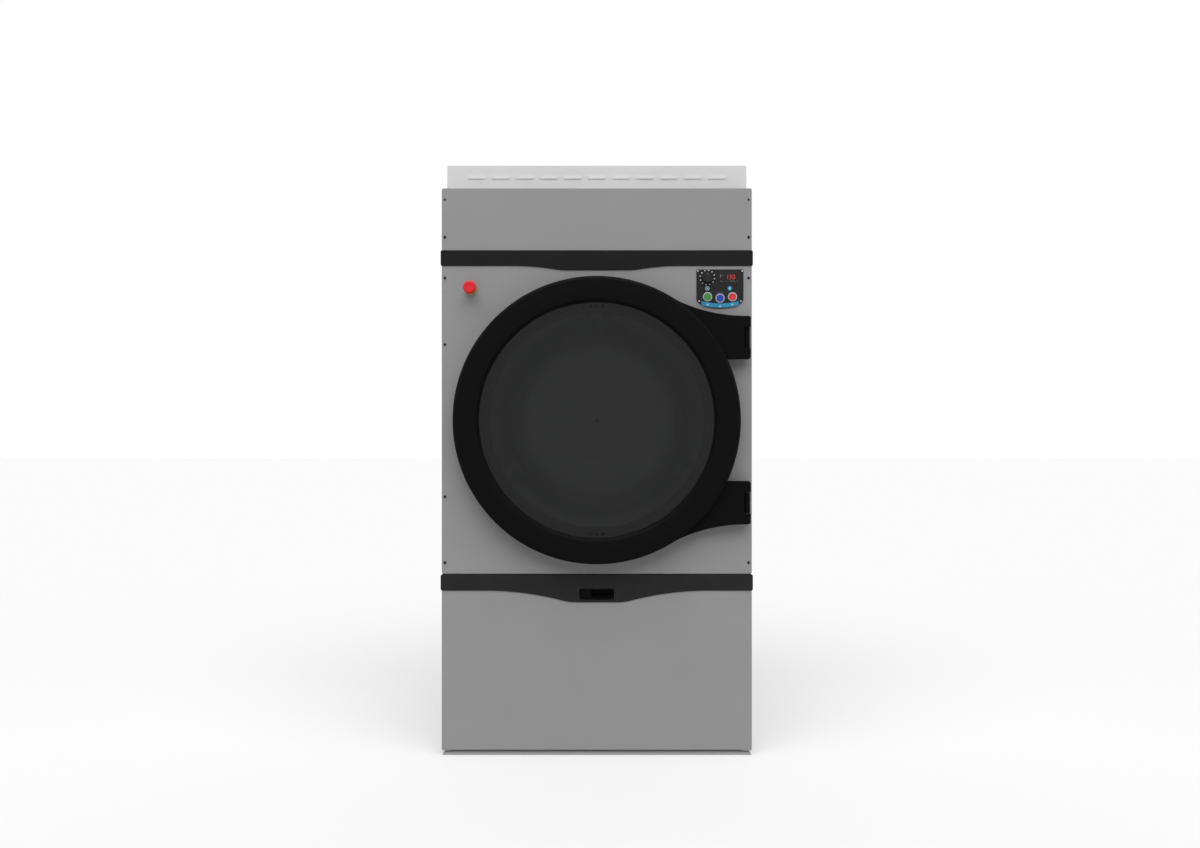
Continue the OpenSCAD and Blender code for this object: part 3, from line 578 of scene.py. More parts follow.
class Shape:
    """A mesh under construction in the shared frame."""

    def __init__(self) -> None:
        """Starts with nothing in it."""
        self.mesh = bmesh.new()

    def rings(self, rings: Sequence[Sequence[Vector]], closed: bool = False) -> list[list[Any]]:
        """Joins rings of equally many points with quads.

        Args:
            rings: The rings, in order.
            closed: Whether the last ring joins the first.

        Returns:
            The rings' vertices.
        """
        made = [[self.mesh.verts.new(p) for p in ring] for ring in rings]
        pairs = list(zip(made, made[1:])) + ([(made[-1], made[0])] if closed else [])
        for first, second in pairs:
            for a, b, c, d in zip(first, first[1:] + first[:1], second[1:] + second[:1], second):
                self.mesh.faces.new((a, b, c, d))
        return made

    def cap(self, loops: Sequence[Sequence[Any]]) -> None:
        """Fills the flat between an outer ring of vertices and any inner ones."""
        edges = []
        for loop in loops:
            for a, b in zip(loop, list(loop[1:]) + [loop[0]]):
                edges.append(self.mesh.edges.get((a, b)) or self.mesh.edges.new((a, b)))
        bmesh.ops.triangle_fill(self.mesh, use_beauty=True, use_dissolve=False, edges=edges)

    def slab(self, outer: Loop, front: float, back: float, holes: Sequence[Loop] = (),
             front_round: float = 0.0, back_round: float = 0.0, steps: int = 3,
             open_back: bool = False, stops: Sequence[float] = ()) -> Shape:
        """Adds a plate of any outline, with its rims rounded.

        Args:
            outer: The outline in x and z, anticlockwise.
            front: The depth of its front face.
            back: The depth of its back.
            holes: Loops cut through it, anticlockwise.
            front_round: Radius round the front rims.
            back_round: Radius round the back rims.
            steps: Facets in each rounding.
            open_back: Leaves the back off, for a folded sheet.
            stops: Depths at which the side gets an extra ring.

        Returns:
            The shape itself.
        """
        quarter = [math.radians(90 * k / steps) for k in range(steps + 1)]
        profile = [(0.0, front)]
        if front_round:
            profile = [(front_round * (1 - math.sin(a)), front + front_round * (1 - math.cos(a)))
                       for a in quarter]
        profile += [(0.0, depth) for depth in stops]
        if back_round:
            profile += [(back_round * (1 - math.cos(a)), back - back_round * (1 - math.sin(a)))
                        for a in quarter]
        else:
            profile.append((0.0, back))
        ends: list[tuple[Any, Any]] = []
        for loop, side in [(outer, -1), *((hole, 1) for hole in holes)]:
            clean = thinned(loop if area(loop) > 0 else loop[::-1])
            depths = profile[:1] if side > 0 and open_back else profile
            rings = self.rings([[place(x, depth, z) for x, z in grown(clean, side * inset)]
                                for inset, depth in depths])
            ends.append((rings[0], rings[-1]))
        self.cap([first for first, _ in ends])
        if not open_back:
            self.cap([last for _, last in ends])
        return self

    def turned(self, profile: Loop, centre: Point, segments: int) -> Shape:
        """Adds a solid turned about a line along y.

        Args:
            profile: Points of radius and depth, of which the last joins the first.
            centre: Where the line runs, as x and z.
            segments: Facets round it.

        Returns:
            The shape itself.
        """
        angles = [2 * math.pi * k / segments for k in range(segments)]
        self.rings([[place(centre[0] + radius * math.cos(a), depth,
                           centre[1] + radius * math.sin(a)) for a in angles]
                    for radius, depth in profile], closed=True)
        return self.merged()

    def merged(self) -> Shape:
        """Joins the points that lie on each other."""
        bmesh.ops.remove_doubles(self.mesh, verts=self.mesh.verts[:], dist=1e-6)
        return self

    def sheet(self, rows: Sequence[Sequence[Vector]]) -> Shape:
        """Adds an open sheet through rows of equally many points."""
        made = [[self.mesh.verts.new(p) for p in row] for row in rows]
        for first, second in zip(made, made[1:]):
            for a, b, c, d in zip(first, first[1:], second[1:], second):
                self.mesh.faces.new((a, b, c, d))
        return self

    def block(self, x: Point, depth: Point, z: Point) -> Shape:
        """Adds a plain box between pairs of x, depth and z."""
        low, high = place(x[0], depth[0], z[0]), place(x[1], depth[1], z[1])
        size = high - low
        where = Matrix.Translation((low + high) / 2) @ Matrix.Diagonal((*size, 1.0))
        bmesh.ops.create_cube(self.mesh, size=1.0, matrix=where)
        return self

    def without(self, unwanted: Callable[[Vector], bool]) -> Shape:
        """Takes away the faces whose middle the test picks."""
        faces = [f for f in self.mesh.faces if unwanted(f.calc_center_median())]
        bmesh.ops.delete(self.mesh, geom=faces, context="FACES")
        return self

    def copied(self, node: str, edge: float) -> Shape:
        """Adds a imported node's mesh, merged, with its flats cleaned and its edges eased."""
        flat, crease = math.radians(0.6), math.radians(40)
        source = bpy.data.meshes.new("source")
        fresh = bmesh.new()
        fresh.from_mesh(FRAME_NODES[node].data)
        bmesh.ops.remove_doubles(fresh, verts=fresh.verts[:], dist=2e-6)
        bmesh.ops.dissolve_limit(fresh, angle_limit=flat, verts=fresh.verts[:],
                                 edges=fresh.edges[:])
        if edge:
            sharp = [e for e in fresh.edges
                     if e.is_manifold and e.calc_face_angle(0.0) > crease]
            bmesh.ops.bevel(fresh, geom=sharp, offset=edge * MM, segments=2, profile=0.5,
                            affect="EDGES", clamp_overlap=True)
        fresh.to_mesh(source)
        fresh.free()
        self.mesh.from_mesh(source)
        bpy.data.meshes.remove(source)
        return self

    def ended(self, name: str) -> bpy.types.Object:
        """Uses the shape up as an object, with its faces turned outwards."""
        bmesh.ops.recalc_face_normals(self.mesh, faces=self.mesh.faces[:])
        mesh = bpy.data.meshes.new(name)
        self.mesh.to_mesh(mesh)
        self.mesh.free()
        return linked(name, mesh)


FRAME_NODES: dict[str, bpy.types.Object] = {}


def linked(name: str, data: bpy.types.ID) -> bpy.types.Object:
    """Adds an object to the scene."""
    made = bpy.data.objects.new(name, data)
    bpy.context.scene.collection.objects.link(made)
    return made


def settle(piece: bpy.types.Object) -> None:
    """Makes a piece's modifiers final, so that it is a plain mesh."""
    graph = bpy.context.evaluated_depsgraph_get()
    final = bpy.data.meshes.new_from_object(piece.evaluated_get(graph), depsgraph=graph)
    piece.modifiers.clear()
    old, piece.data = piece.data, final
    bpy.data.meshes.remove(old)
    final.name = piece.name


def soften(mesh: bpy.types.Mesh, angle: float) -> None:
    """Smooth shading, with edges sharper than an angle in degrees left crisp."""
    work = bmesh.new()
    work.from_mesh(mesh)
    for face in work.faces:
        face.smooth = True
    for edge in work.edges:
        edge.smooth = edge.is_manifold and edge.calc_face_angle(0.0) < math.radians(angle)
    work.to_mesh(mesh)
    work.free()


def thicken(piece: bpy.types.Object, wall: float, offset: float = -1.0,
            even: bool = False) -> None:
    """Gives a sheet its thickness, behind its faces unless an offset says otherwise."""
    skin = piece.modifiers.new("Wall", "SOLIDIFY")
    skin.thickness = wall * MM
    skin.offset = offset
    skin.use_even_offset = even
    settle(piece)


def register(piece: bpy.types.Object, body: Body,
             replaces: Sequence[str] = ()) -> bpy.types.Object:
    """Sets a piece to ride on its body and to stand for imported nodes.

    Args:
        piece: The finished mesh object.
        body: The body that carries it.
        replaces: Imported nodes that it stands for.

    Returns:
        The piece.
    """
    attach(piece, body.value)
    if replaces:
        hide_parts(*replaces)
    log.info("%s: %d faces on %s", piece.name, len(piece.data.polygons), body.value)
    return piece


def finished(name: str, shape: Shape, finish: Finish, body: Body, replaces: Sequence[str] = (),
             angle: float = CRISP, wall: float = 0.0) -> bpy.types.Object:
    """Turns a shape into a dressed piece.

    Args:
        name: The piece's name.
        shape: The mesh, which is used up.
        finish: Its finish.
        body: The body that carries it.
        replaces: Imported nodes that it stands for.
        angle: Edges sharper than this many degrees stay crisp.
        wall: Thickness given inwards to a sheet.

    Returns:
        The piece.
    """
    piece = shape.ended(name)
    if wall:
        thicken(piece, wall, even=True)
    soften(piece.data, angle)
    piece.data.materials.clear()
    piece.data.materials.append(finish.material())
    piece.modifiers.new("Flats", "WEIGHTED_NORMAL").keep_sharp = True
    settle(piece)
    return register(piece, body, replaces)


def carried(node: str, finish: Finish, body: Body, edge: float) -> bpy.types.Object:
    """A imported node's own shape with its edges eased and a finish on it."""
    return finished(node + "_skin", Shape().copied(node, edge), finish, body, [node])


# ---- Repeats ----


class Repeats:
    """Geometry Nodes trees for what repeats. Each tree is built once."""

    @staticmethod
    def _tree(name: str, inputs: Sequence[tuple[str, str]]) -> tuple[Any, Any, bool]:
        """Finds or starts a tree.

        Args:
            name: The tree's name.
            inputs: Pairs of an input's name and socket type.

        Returns:
            The tree, its input node, and whether it was already built.
        """
        known = bpy.data.node_groups.get(name)
        if known:
            return known, known.nodes["Group Input"], True
        tree = bpy.data.node_groups.new(name, "GeometryNodeTree")
        for label, kind in inputs:
            tree.interface.new_socket(name=label, in_out="INPUT", socket_type=kind)
        tree.interface.new_socket(name="Geometry", in_out="OUTPUT",
                                  socket_type="NodeSocketGeometry")
        return tree, add_node(tree, "NodeGroupInput"), False

    @staticmethod
    def _line(tree: Any, count: Any, step: Any, first: Any = (0, 0, 0)) -> Any:
        """Points along a straight line."""
        return add_node(tree, "GeometryNodeMeshLine", {
            "Count": count, "Start Location": first, "Offset": step}, mode="OFFSET").outputs[0]

    @staticmethod
    def _copies(tree: Any, points: Any, thing: Any, **more: Any) -> Any:
        """Copies of an object, one at each point."""
        item = add_node(tree, "GeometryNodeObjectInfo", {"Object": thing})
        return add_node(tree, "GeometryNodeInstanceOnPoints", {
            "Points": points, "Instance": item.outputs["Geometry"], **more}).outputs[0]

    @staticmethod
    def _close(tree: Any, source: Any, geometry: Any) -> None:
        """Ends a tree in Realize Instances and Set Material."""
        solid = add_node(tree, "GeometryNodeRealizeInstances", {"Geometry": geometry})
        dressed = add_node(tree, "GeometryNodeSetMaterial", {
            "Geometry": solid.outputs[0], "Material": source.outputs["Finish"]})
        add_node(tree, "NodeGroupOutput", {0: dressed.outputs[0]})

    @classmethod
    def row(cls) -> Any:
        """A tree that sets copies of a piece along a straight line."""
        tree, source, built = cls._tree("set_out_in_a_row", [
            ("Count", "NodeSocketInt"), ("First", "NodeSocketVector"),
            ("Step", "NodeSocketVector"), ("Piece", "NodeSocketObject"),
            ("Finish", "NodeSocketMaterial")])
        if not built:
            given = source.outputs
            line = cls._line(tree, given["Count"], given["Step"], given["First"])
            cls._close(tree, source, cls._copies(tree, line, given["Piece"]))
        return tree

    @classmethod
    def points(cls) -> Any:
        """A tree that sets a copy of a piece at each point of the mesh it is on."""
        tree, source, built = cls._tree("set_out_on_points", [
            ("Geometry", "NodeSocketGeometry"), ("Piece", "NodeSocketObject"),
            ("Finish", "NodeSocketMaterial")])
        if not built:
            given = source.outputs
            cls._close(tree, source, cls._copies(tree, given["Geometry"], given["Piece"]))
        return tree

    @classmethod
    def circle(cls) -> Any:
        """A tree that turns copies of a piece round a line along y through a centre."""
        tree, source, built = cls._tree("set_out_in_a_circle", [
            ("Count", "NodeSocketInt"), ("Centre", "NodeSocketVector"),
            ("First Angle", "NodeSocketFloat"), ("Turn", "NodeSocketFloat"),
            ("Piece", "NodeSocketObject"), ("Finish", "NodeSocketMaterial")])
        if not built:
            given = source.outputs
            line = cls._line(tree, given["Count"], (0, 0, 0), given["Centre"])
            index = add_node(tree, "GeometryNodeInputIndex").outputs[0]
            angle = maths(tree, "MULTIPLY_ADD", index, given["Turn"], given["First Angle"])
            turn = add_node(tree, "ShaderNodeCombineXYZ", {"Y": angle})
            rotation = add_node(tree, "FunctionNodeEulerToRotation", {0: turn.outputs[0]})
            cls._close(tree, source, cls._copies(tree, line, given["Piece"],
                                                 Rotation=rotation.outputs[0]))
        return tree

    @classmethod
    def wires(cls) -> Any:
        """A tree that lays one row of straight wires, each along the given span."""
        tree, source, built = cls._tree("straight_wires", [
            ("Count", "NodeSocketInt"), ("First", "NodeSocketVector"),
            ("Step", "NodeSocketVector"), ("Span", "NodeSocketVector"),
            ("Wire Radius", "NodeSocketFloat"), ("Finish", "NodeSocketMaterial")])
        if not built:
            given = source.outputs
            line = cls._line(tree, given["Count"], given["Step"], given["First"])
            run = add_node(tree, "GeometryNodeCurvePrimitiveLine", {"End": given["Span"]})
            section = add_node(tree, "GeometryNodeCurvePrimitiveCircle", {
                "Resolution": 5, "Radius": given["Wire Radius"]})
            wire = add_node(tree, "GeometryNodeCurveToMesh", {
                "Curve": run.outputs[0], "Profile Curve": section.outputs[0], "Fill Caps": True})
            placed = add_node(tree, "GeometryNodeInstanceOnPoints", {
                "Points": line, "Instance": wire.outputs[0]})
            cls._close(tree, source, placed.outputs[0])
        return tree

    @classmethod
    def perforated(cls) -> Any:
        """A tree that rolls a sheet of pierced cells into a drum about a line along y."""
        tree, source, built = cls._tree("perforated_drum", [
            ("Around", "NodeSocketInt"), ("Along", "NodeSocketInt"),
            ("Radius", "NodeSocketFloat"), ("Length", "NodeSocketFloat"),
            ("Start", "NodeSocketVector"), ("Cell", "NodeSocketObject"),
            ("Finish", "NodeSocketMaterial")])
        if built:
            return tree
        given = source.outputs
        girth = maths(tree, "MULTIPLY", given["Radius"], 2 * math.pi)
        across = maths(tree, "DIVIDE", girth, given["Around"])
        along = maths(tree, "DIVIDE", given["Length"], given["Along"])
        step_x = add_node(tree, "ShaderNodeCombineXYZ", {"X": across})
        step_y = add_node(tree, "ShaderNodeCombineXYZ", {"Y": along})
        columns = cls._line(tree, given["Around"], step_x.outputs[0])
        rows = cls._line(tree, given["Along"], step_y.outputs[0])
        size = add_node(tree, "ShaderNodeCombineXYZ", {"X": across, "Y": along, "Z": 1.0})
        strip = cls._copies(tree, rows, given["Cell"], Scale=size.outputs[0])
        sheet = add_node(tree, "GeometryNodeInstanceOnPoints", {
            "Points": columns, "Instance": strip})
        flat = add_node(tree, "GeometryNodeRealizeInstances", {"Geometry": sheet.outputs[0]})
        where = add_node(tree, "ShaderNodeSeparateXYZ", {
            0: add_node(tree, "GeometryNodeInputPosition").outputs[0]})
        angle = maths(tree, "DIVIDE", where.outputs["X"], given["Radius"])
        rolled = add_node(tree, "ShaderNodeCombineXYZ", {
            "X": maths(tree, "MULTIPLY", maths(tree, "SINE", angle), given["Radius"]),
            "Y": where.outputs["Y"],
            "Z": maths(tree, "MULTIPLY", maths(tree, "COSINE", angle), given["Radius"])})
        moved = add_node(tree, "ShaderNodeVectorMath", {
            0: rolled.outputs[0], 1: given["Start"]}, operation="ADD")
        drum = add_node(tree, "GeometryNodeSetPosition", {
            "Geometry": flat.outputs[0], "Position": moved.outputs[0]})
        joined = add_node(tree, "GeometryNodeMergeByDistance", {
            "Geometry": drum.outputs[0], "Distance": 2e-5})
        cls._close(tree, source, joined.outputs[0])
        return tree

    @staticmethod
    def made(name: str, tree: Any, finish: Finish, inputs: dict[str, Any],
             start: Sequence[Vector] = ()) -> bpy.types.Object:
        """Runs a tree and keeps its result as a plain mesh.

        Args:
            name: The new object's name.
            tree: The tree to run.
            finish: The finish that it sets.
            inputs: The tree's inputs by name.
            start: Points for a tree that works on points.

        Returns:
            The object, which has no modifiers left.
        """
        mesh = bpy.data.meshes.new(name)
        mesh.from_pydata([tuple(p) for p in start], [], [])
        made = linked(name, mesh)
        modifier = made.modifiers.new(tree.name, "NODES")
        modifier.node_group = tree
        values = {**inputs, "Finish": finish.material()}
        for item in tree.interface.items_tree:
            if item.in_out == "INPUT" and item.name in values:
                value = values[item.name]
                modifier[item.identifier] = list(value) if isinstance(value, Vector) else value
        settle(made)
        return made


def pattern(name: str, shape: Shape, wall: float = 0.0) -> bpy.types.Object:
    """A hidden object that a repeat copies. It is taken away by discard()."""
    made = shape.ended(name)
    if wall:
        thicken(made, wall)
    soften(made.data, CRISP)
    return made


def discard(thing: bpy.types.Object) -> None:
    """Takes away an object that was only a pattern."""
    mesh = thing.data
    bpy.data.objects.remove(thing)
    bpy.data.meshes.remove(mesh)


def shifted(shape: Shape, offset: Vector) -> Shape:
    """The shape moved by an offset in metres."""
    bmesh.ops.translate(shape.mesh, vec=offset, verts=shape.mesh.verts[:])
    return shape


# ---- Sub-assemblies ----


@dataclass(frozen=True)
class Fasteners:
    """Button-head screws with a hexagon socket, set out by points."""

    head_radius: float
    head_height: float
    socket_radius: float
    socket_depth: float

    def head(self) -> Shape:
        """One head, facing forwards at the origin of the frame."""
        shape = Shape()
        sides, steps = 24, 5
        angles = [2 * math.pi * s / sides for s in range(sides)]
        flat = self.socket_radius * 1.25
        rings = []
        for k in range(steps + 1):
            turn = math.radians(90 * k / steps)
            rings.append((flat + (self.head_radius - flat) * math.sin(turn),
                          -self.head_height * math.cos(turn)))
        rings.append((self.head_radius, 0.0))
        loops = [[place(r * math.cos(a), d, r * math.sin(a)) for a in angles] for r, d in rings]
        hexagon = []
        for angle in angles:
            within = (angle % (math.pi / 3)) - math.pi / 6
            reach = self.socket_radius * math.cos(math.pi / 6) / math.cos(within)
            hexagon.append((reach * math.cos(angle), reach * math.sin(angle)))
        for depth in (-self.head_height, self.socket_depth - self.head_height):
            loops.insert(0, [place(x, depth, z) for x, z in hexagon])
        made = shape.rings(loops)
        shape.mesh.faces.new(made[0])
        shape.mesh.faces.new(made[-1])
        return shifted(shape, -place(0, 0, 0))

    def set_out(self, name: str, spots: Sequence[Vector], finish: Finish, body: Body,
                replaces: Sequence[str] = (), turn: float = 0.0) -> bpy.types.Object:
        """Puts a head at each spot.

        Args:
            name: The group's name.
            spots: Where the heads' undersides lie, in metres.
            finish: Their finish.
            body: The body that carries them.
            replaces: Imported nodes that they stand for.
            turn: A turn about z in degrees, 180 for the back.

        Returns:
            The group of screws.
        """
        shape = self.head()
        bmesh.ops.rotate(shape.mesh, cent=(0, 0, 0), verts=shape.mesh.verts[:],
                         matrix=Matrix.Rotation(math.radians(turn), 3, "Z"))
        head = pattern(name + "_head", shape)
        group = Repeats.made(name, Repeats.points(), finish, {"Piece": head}, spots)
        discard(head)
        return register(group, body, replaces)


REAR_SCREWS = Fasteners(4.2, 2.4, 1.9, 1.4)
FRONT_SCREWS = Fasteners(4.4, 2.6, 2.0, 1.5)
SMALL_SCREWS = Fasteners(3.4, 2.0, 1.5, 1.1)
PLATE_SCREWS = Fasteners(2.9, 1.5, 1.2, 0.8)
PANE_STUDS = Fasteners(3.2, 1.2, 1.2, 0.7)


@dataclass
class Cabinet:
    """The folded sheet-steel case: front panels, trim band, sides, back, base and air box."""

    sheet: float = 1.5
    bend: float = 2.5
    corner: float = 6.0
    side_return: float = 18.0
    half_width: float = 478.5
    louvres: int = 11
    louvre_pitch: float = 76.0
    louvre_width: float = 57.7
    louvre_height: float = 10.5
    louvre_out: float = 1.2
    deck_front: float = 103.0
    rear_screw_pitch: float = 215.0

    def build(self) -> None:
        """Makes every piece of the case."""
        self.front_panels()
        self.trim_band()
        self.air_box()
        self.sides_and_back()
        self.front_screws()
        self.inner_sheets()

    def folded(self, node: str, holes: Sequence[Loop], head: float, foot: float) -> Shape:
        """A panel with its edges folded back.

        Args:
            node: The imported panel, which gives the outline.
            holes: Loops cut through its face.
            head: How far the fold along its top runs back.
            foot: How far the fold along its foot runs back.

        Returns:
            The open sheet, without its thickness.
        """
        box = Extent.of(node)
        outline = rounded_box(box.middle, box.width, box.height, self.corner)
        shape = Shape().slab(outline, box.front, self.side_return, holes, self.bend,
                             open_back=True, stops=sorted({foot, head} - {self.side_return}))
        low, high = place(0, 0, box.bottom + NEAR).z, place(0, 0, box.top - NEAR).z
        deep_head, deep_foot = place(0, head, 0).y, place(0, foot, 0).y
        return shape.without(lambda p: (p.z > high and p.y > deep_head)
                             or (p.z < low and p.y > deep_foot))

    def front_panels(self) -> None:
        """The two grey panels above the drawer."""
        upper = self.folded("upper_front_panel", [], self.side_return, 3.0)
        finished("upper_front_sheet", upper, PANEL, Body.CABINET, ["upper_front_panel"],
                 wall=self.sheet)
        top = Extent.of("upper_front_panel").top
        lid = Shape().block((-self.half_width, self.half_width),
                            (self.side_return + 0.1, self.deck_front - 1),
                            (top - self.sheet, top))
        finished("upper_front_return", lid, PANEL, Body.CABINET)
        port = Extent.of("port_ring")
        stop = Extent.of("estop_head")
        plate = Extent.of("control_plate")
        holes = [circle(port.middle, 372, 128), circle(stop.middle, 11.3, 32),
                 rounded_box(plate.middle, 118, 92, 6)]
        main = self.folded("front_panel", holes, 14.0, 8.0)
        finished("main_front_sheet", main, PANEL, Body.CABINET, ["front_panel"], wall=self.sheet)

    def trim_band(self) -> None:
        """The upper band, whose lower edge dips in the middle. Its face is left bare."""
        band = TrimBand("upper_trim", dip=13.2, flat=98.0, knee=800.0, foot=180.0, height=48.2)
        finished("upper_trim_band", band.shape(), TRIM, Body.CABINET, ["upper_trim"],
                 wall=band.thickness)

    def louvre(self) -> Shape:
        """One pressed hood: closed and rounded at its ends, open along its lower edge."""
        columns, rows, squareness = 20, 6, 8
        grid = []
        for v in range(rows + 1):
            row = []
            for u in range(columns + 1):
                along = 2 * u / columns - 1
                swell = (1 - along ** squareness) ** 0.5 if abs(along) < 1 else 0.0
                row.append(Vector((along * self.louvre_width / 2,
                                   -self.louvre_out * swell * v / rows,
                                   self.louvre_height * (1 - v / rows))) * MM)
            grid.append(row)
        return Shape().sheet(grid)

    def air_box(self) -> None:
        """The pale box above and behind the front, with its row of louvres."""
        box = Extent.of("airbox_cover")
        wall = box.front + 7.0
        width = 946.0
        foot = Extent.of("upper_front_panel").top
        first = -(self.louvres - 1) / 2 * self.louvre_pitch
        row_z = 1800.5
        slots = [rounded_box((first + k * self.louvre_pitch, row_z + 4.5),
                             self.louvre_width - 10, 5, 2, 3) for k in range(self.louvres)]
        face = rounded_box((0, (foot + box.top) / 2), width, box.top - foot, 3, 4)
        front = Shape().slab(face, wall, wall + self.sheet, slots)
        finished("airbox_front_sheet", front, AIRBOX, Body.CABINET)
        hood = Shape().slab(face, wall + 0.2, box.back - 4)
        low, near = place(0, 0, foot + 0.5).z, place(0, wall + NEAR, 0).y
        hood.without(lambda p: p.z < low or p.y < near)
        finished("airbox_hood", hood, AIRBOX, Body.CABINET, ["airbox_cover"], wall=self.sheet)
        finished("cabinet_top_deck", self.deck(foot), SIDE, Body.CABINET)
        louvre = pattern("louvre", self.louvre(), 1.0)
        row = Repeats.made("airbox_louvres", Repeats.row(), AIRBOX, {
            "Count": self.louvres, "Piece": louvre, "First": place(first, wall, row_z),
            "Step": Vector((self.louvre_pitch * MM, 0, 0))})
        discard(louvre)
        register(row, Body.CABINET)

    def deck(self, top: float) -> Shape:
        """The top of the cabinet round the air box, in four strips that leave the heater open.

        Args:
            top: The height of its upper face.

        Returns:
            The deck.
        """
        shape = Shape()
        front, back = self.deck_front, Extent.of("rear_panel").back
        edge, gap, gap_front, gap_back = self.half_width, 400, 290, 710
        for x, depth in [((-edge, -gap), (front, back)), ((gap, edge), (front, back)),
                         ((-gap, gap), (front, gap_front)), ((-gap, gap), (gap_back, back))]:
            shape.block(x, depth, (top - self.sheet, top))
        return shape

    def sides_and_back(self) -> None:
        """The panels and fittings that the front hides."""
        for node, finish, edge in (("side_panel_left", SIDE, 0.35),
                                   ("side_panel_right", SIDE, 0.35), ("rear_panel", SIDE, 0.2),
                                   ("base_pan", PANEL, 0.3), ("levelling_feet", BRIGHT, 0.5),
                                   ("cable_gland", CUP, 0.6)):
            carried(node, finish, Body.CABINET, edge)
        rear = Extent.of("rear_panel")
        inset = 12.0
        rows = int((rear.height - 2 * inset) // self.rear_screw_pitch)
        step = (rear.height - 2 * inset) / rows
        spots = [place(side * (rear.right - inset), rear.back, rear.bottom + inset + step * k)
                 for side in (-1, 1) for k in range(rows + 1)]
        REAR_SCREWS.set_out("rear_panel_screws", spots, BRIGHT, Body.CABINET, turn=180)
        self.access_cover()
        self.spigot()

    def access_cover(self) -> None:
        """The round cover over the drum's shaft, with a dished rim and its screws."""
        box = Extent.of("rear_access_cover")
        plate = Extent.of("rear_panel").back
        rim, dish, bolts = 106, 84, 95
        profile = filleted([(0.0, plate, 0), (rim, plate, 0), (rim, plate + 1.5, 0.7),
                            (dish, plate + 1.5, 2), (dish - 6, plate + 4, 2),
                            (0.0, plate + 4, 0)], 3)
        cover = Shape().turned(profile, box.middle, 96)
        finished("shaft_access_cover", cover, SIDE, Body.CABINET, ["rear_access_cover"])
        spots = [place(box.middle[0] + bolts * math.cos(a), plate + 1.5,
                       box.middle[1] + bolts * math.sin(a))
                 for a in (math.pi / 3 * k for k in range(6))]
        REAR_SCREWS.set_out("access_cover_screws", spots, BRIGHT, Body.CABINET, turn=180)

    def spigot(self) -> None:
        """The exhaust outlet: a rolled tube with a beaded rim and a flange."""
        box = Extent.of("exhaust_spigot")
        plate = Extent.of("rear_panel").back
        radius, inner, flange = 100.0, 98.5, 123
        profile = [(inner, box.front), (radius, box.front), (radius, plate), (flange, plate),
                   (flange, plate + 1.5), (radius + 2, plate + 1.5), (radius, plate + 3.5)]
        bead = arc((0, 0), 1.0, 180, 0, 8)
        profile += [(radius + 1.6 * z, box.back - 24 + 4 * x) for x, z in bead]
        profile += [(radius, box.back), (inner, box.back)]
        finished("exhaust_tube", Shape().turned(profile, box.middle, 96), ZINC, Body.CABINET,
                 ["exhaust_spigot"])

    def front_screws(self) -> None:
        """The black screws down both edges of the front."""
        edge = 470.0
        both, left, high = (1603.0, 1477.0, 596.0), (1271.0, 800.0), 1719
        spots = [place(side * edge, 0, z) for side in (-1, 1) for z in both]
        spots += [place(-edge, 0, z) for z in left]
        FRONT_SCREWS.set_out("front_panel_screws", spots, BLACK_OXIDE, Body.CABINET,
                             ["panel_screws"])
        small = [place(side * edge, 0, high) for side in (-1, 1)]
        SMALL_SCREWS.set_out("upper_panel_small_screws", small, BLACK_OXIDE, Body.CABINET)

    def inner_sheets(self) -> None:
        """Sheet metal inside the case."""
        for node, finish in {"rear_bulkhead": ZINC, "drum_casing": ZINC, "heater_bank": SHEATH,
                             "electrics_tray": TRAY, "drawer_rails": ZINC,
                             "jackshaft_bracket": IRON, "bearing_housing": IRON,
                             "shaft_bearings": BRIGHT, "door_catch": CUP}.items():
            carried(node, finish, Body.CABINET, 0.2)


@dataclass
class TrimBand:
    """A thin band across the front with a wave in its lower edge and its ends folded back."""

    node: str
    dip: float
    flat: float
    knee: float
    foot: float
    height: float
    corner: float = 5.0
    thickness: float = 2.9
    rounding: float = 1.0

    def outline(self) -> Loop:
        """The band's face: a straight top, and a lower edge that dips between two bends."""
        box = Extent.of(self.node)
        low = box.top - self.height
        end = box.right - self.corner
        turn = math.degrees(math.acos(1 - self.dip / (self.knee + self.foot)))
        reach = self.flat + (self.knee + self.foot) * math.sin(math.radians(turn))
        side = arc((self.flat, low - self.dip + self.foot), self.foot, -90, -90 + turn, 14)
        side += arc((reach, low - self.knee), self.knee, 90 + turn, 90, 20)[1:]
        side += arc((end, low + self.corner), self.corner, -90, 0, 8)
        side += arc((end, box.top - self.corner), self.corner, 0, 90, 8)
        return side + mirrored(side, 0.0)

    def shape(self, holes: Sequence[Loop] = ()) -> Shape:
        """The band's outer skin: its face, its rims and the folds round the cabinet's corners."""
        box = Extent.of(self.node)
        band = Shape().slab(self.outline(), box.front, box.back, holes, self.rounding, steps=4,
                            open_back=True, stops=[-0.05])
        fold = place(box.right - self.thickness - NEAR, 0, 0)
        return band.without(lambda p: abs(p.x) < fold.x and p.y > fold.y)


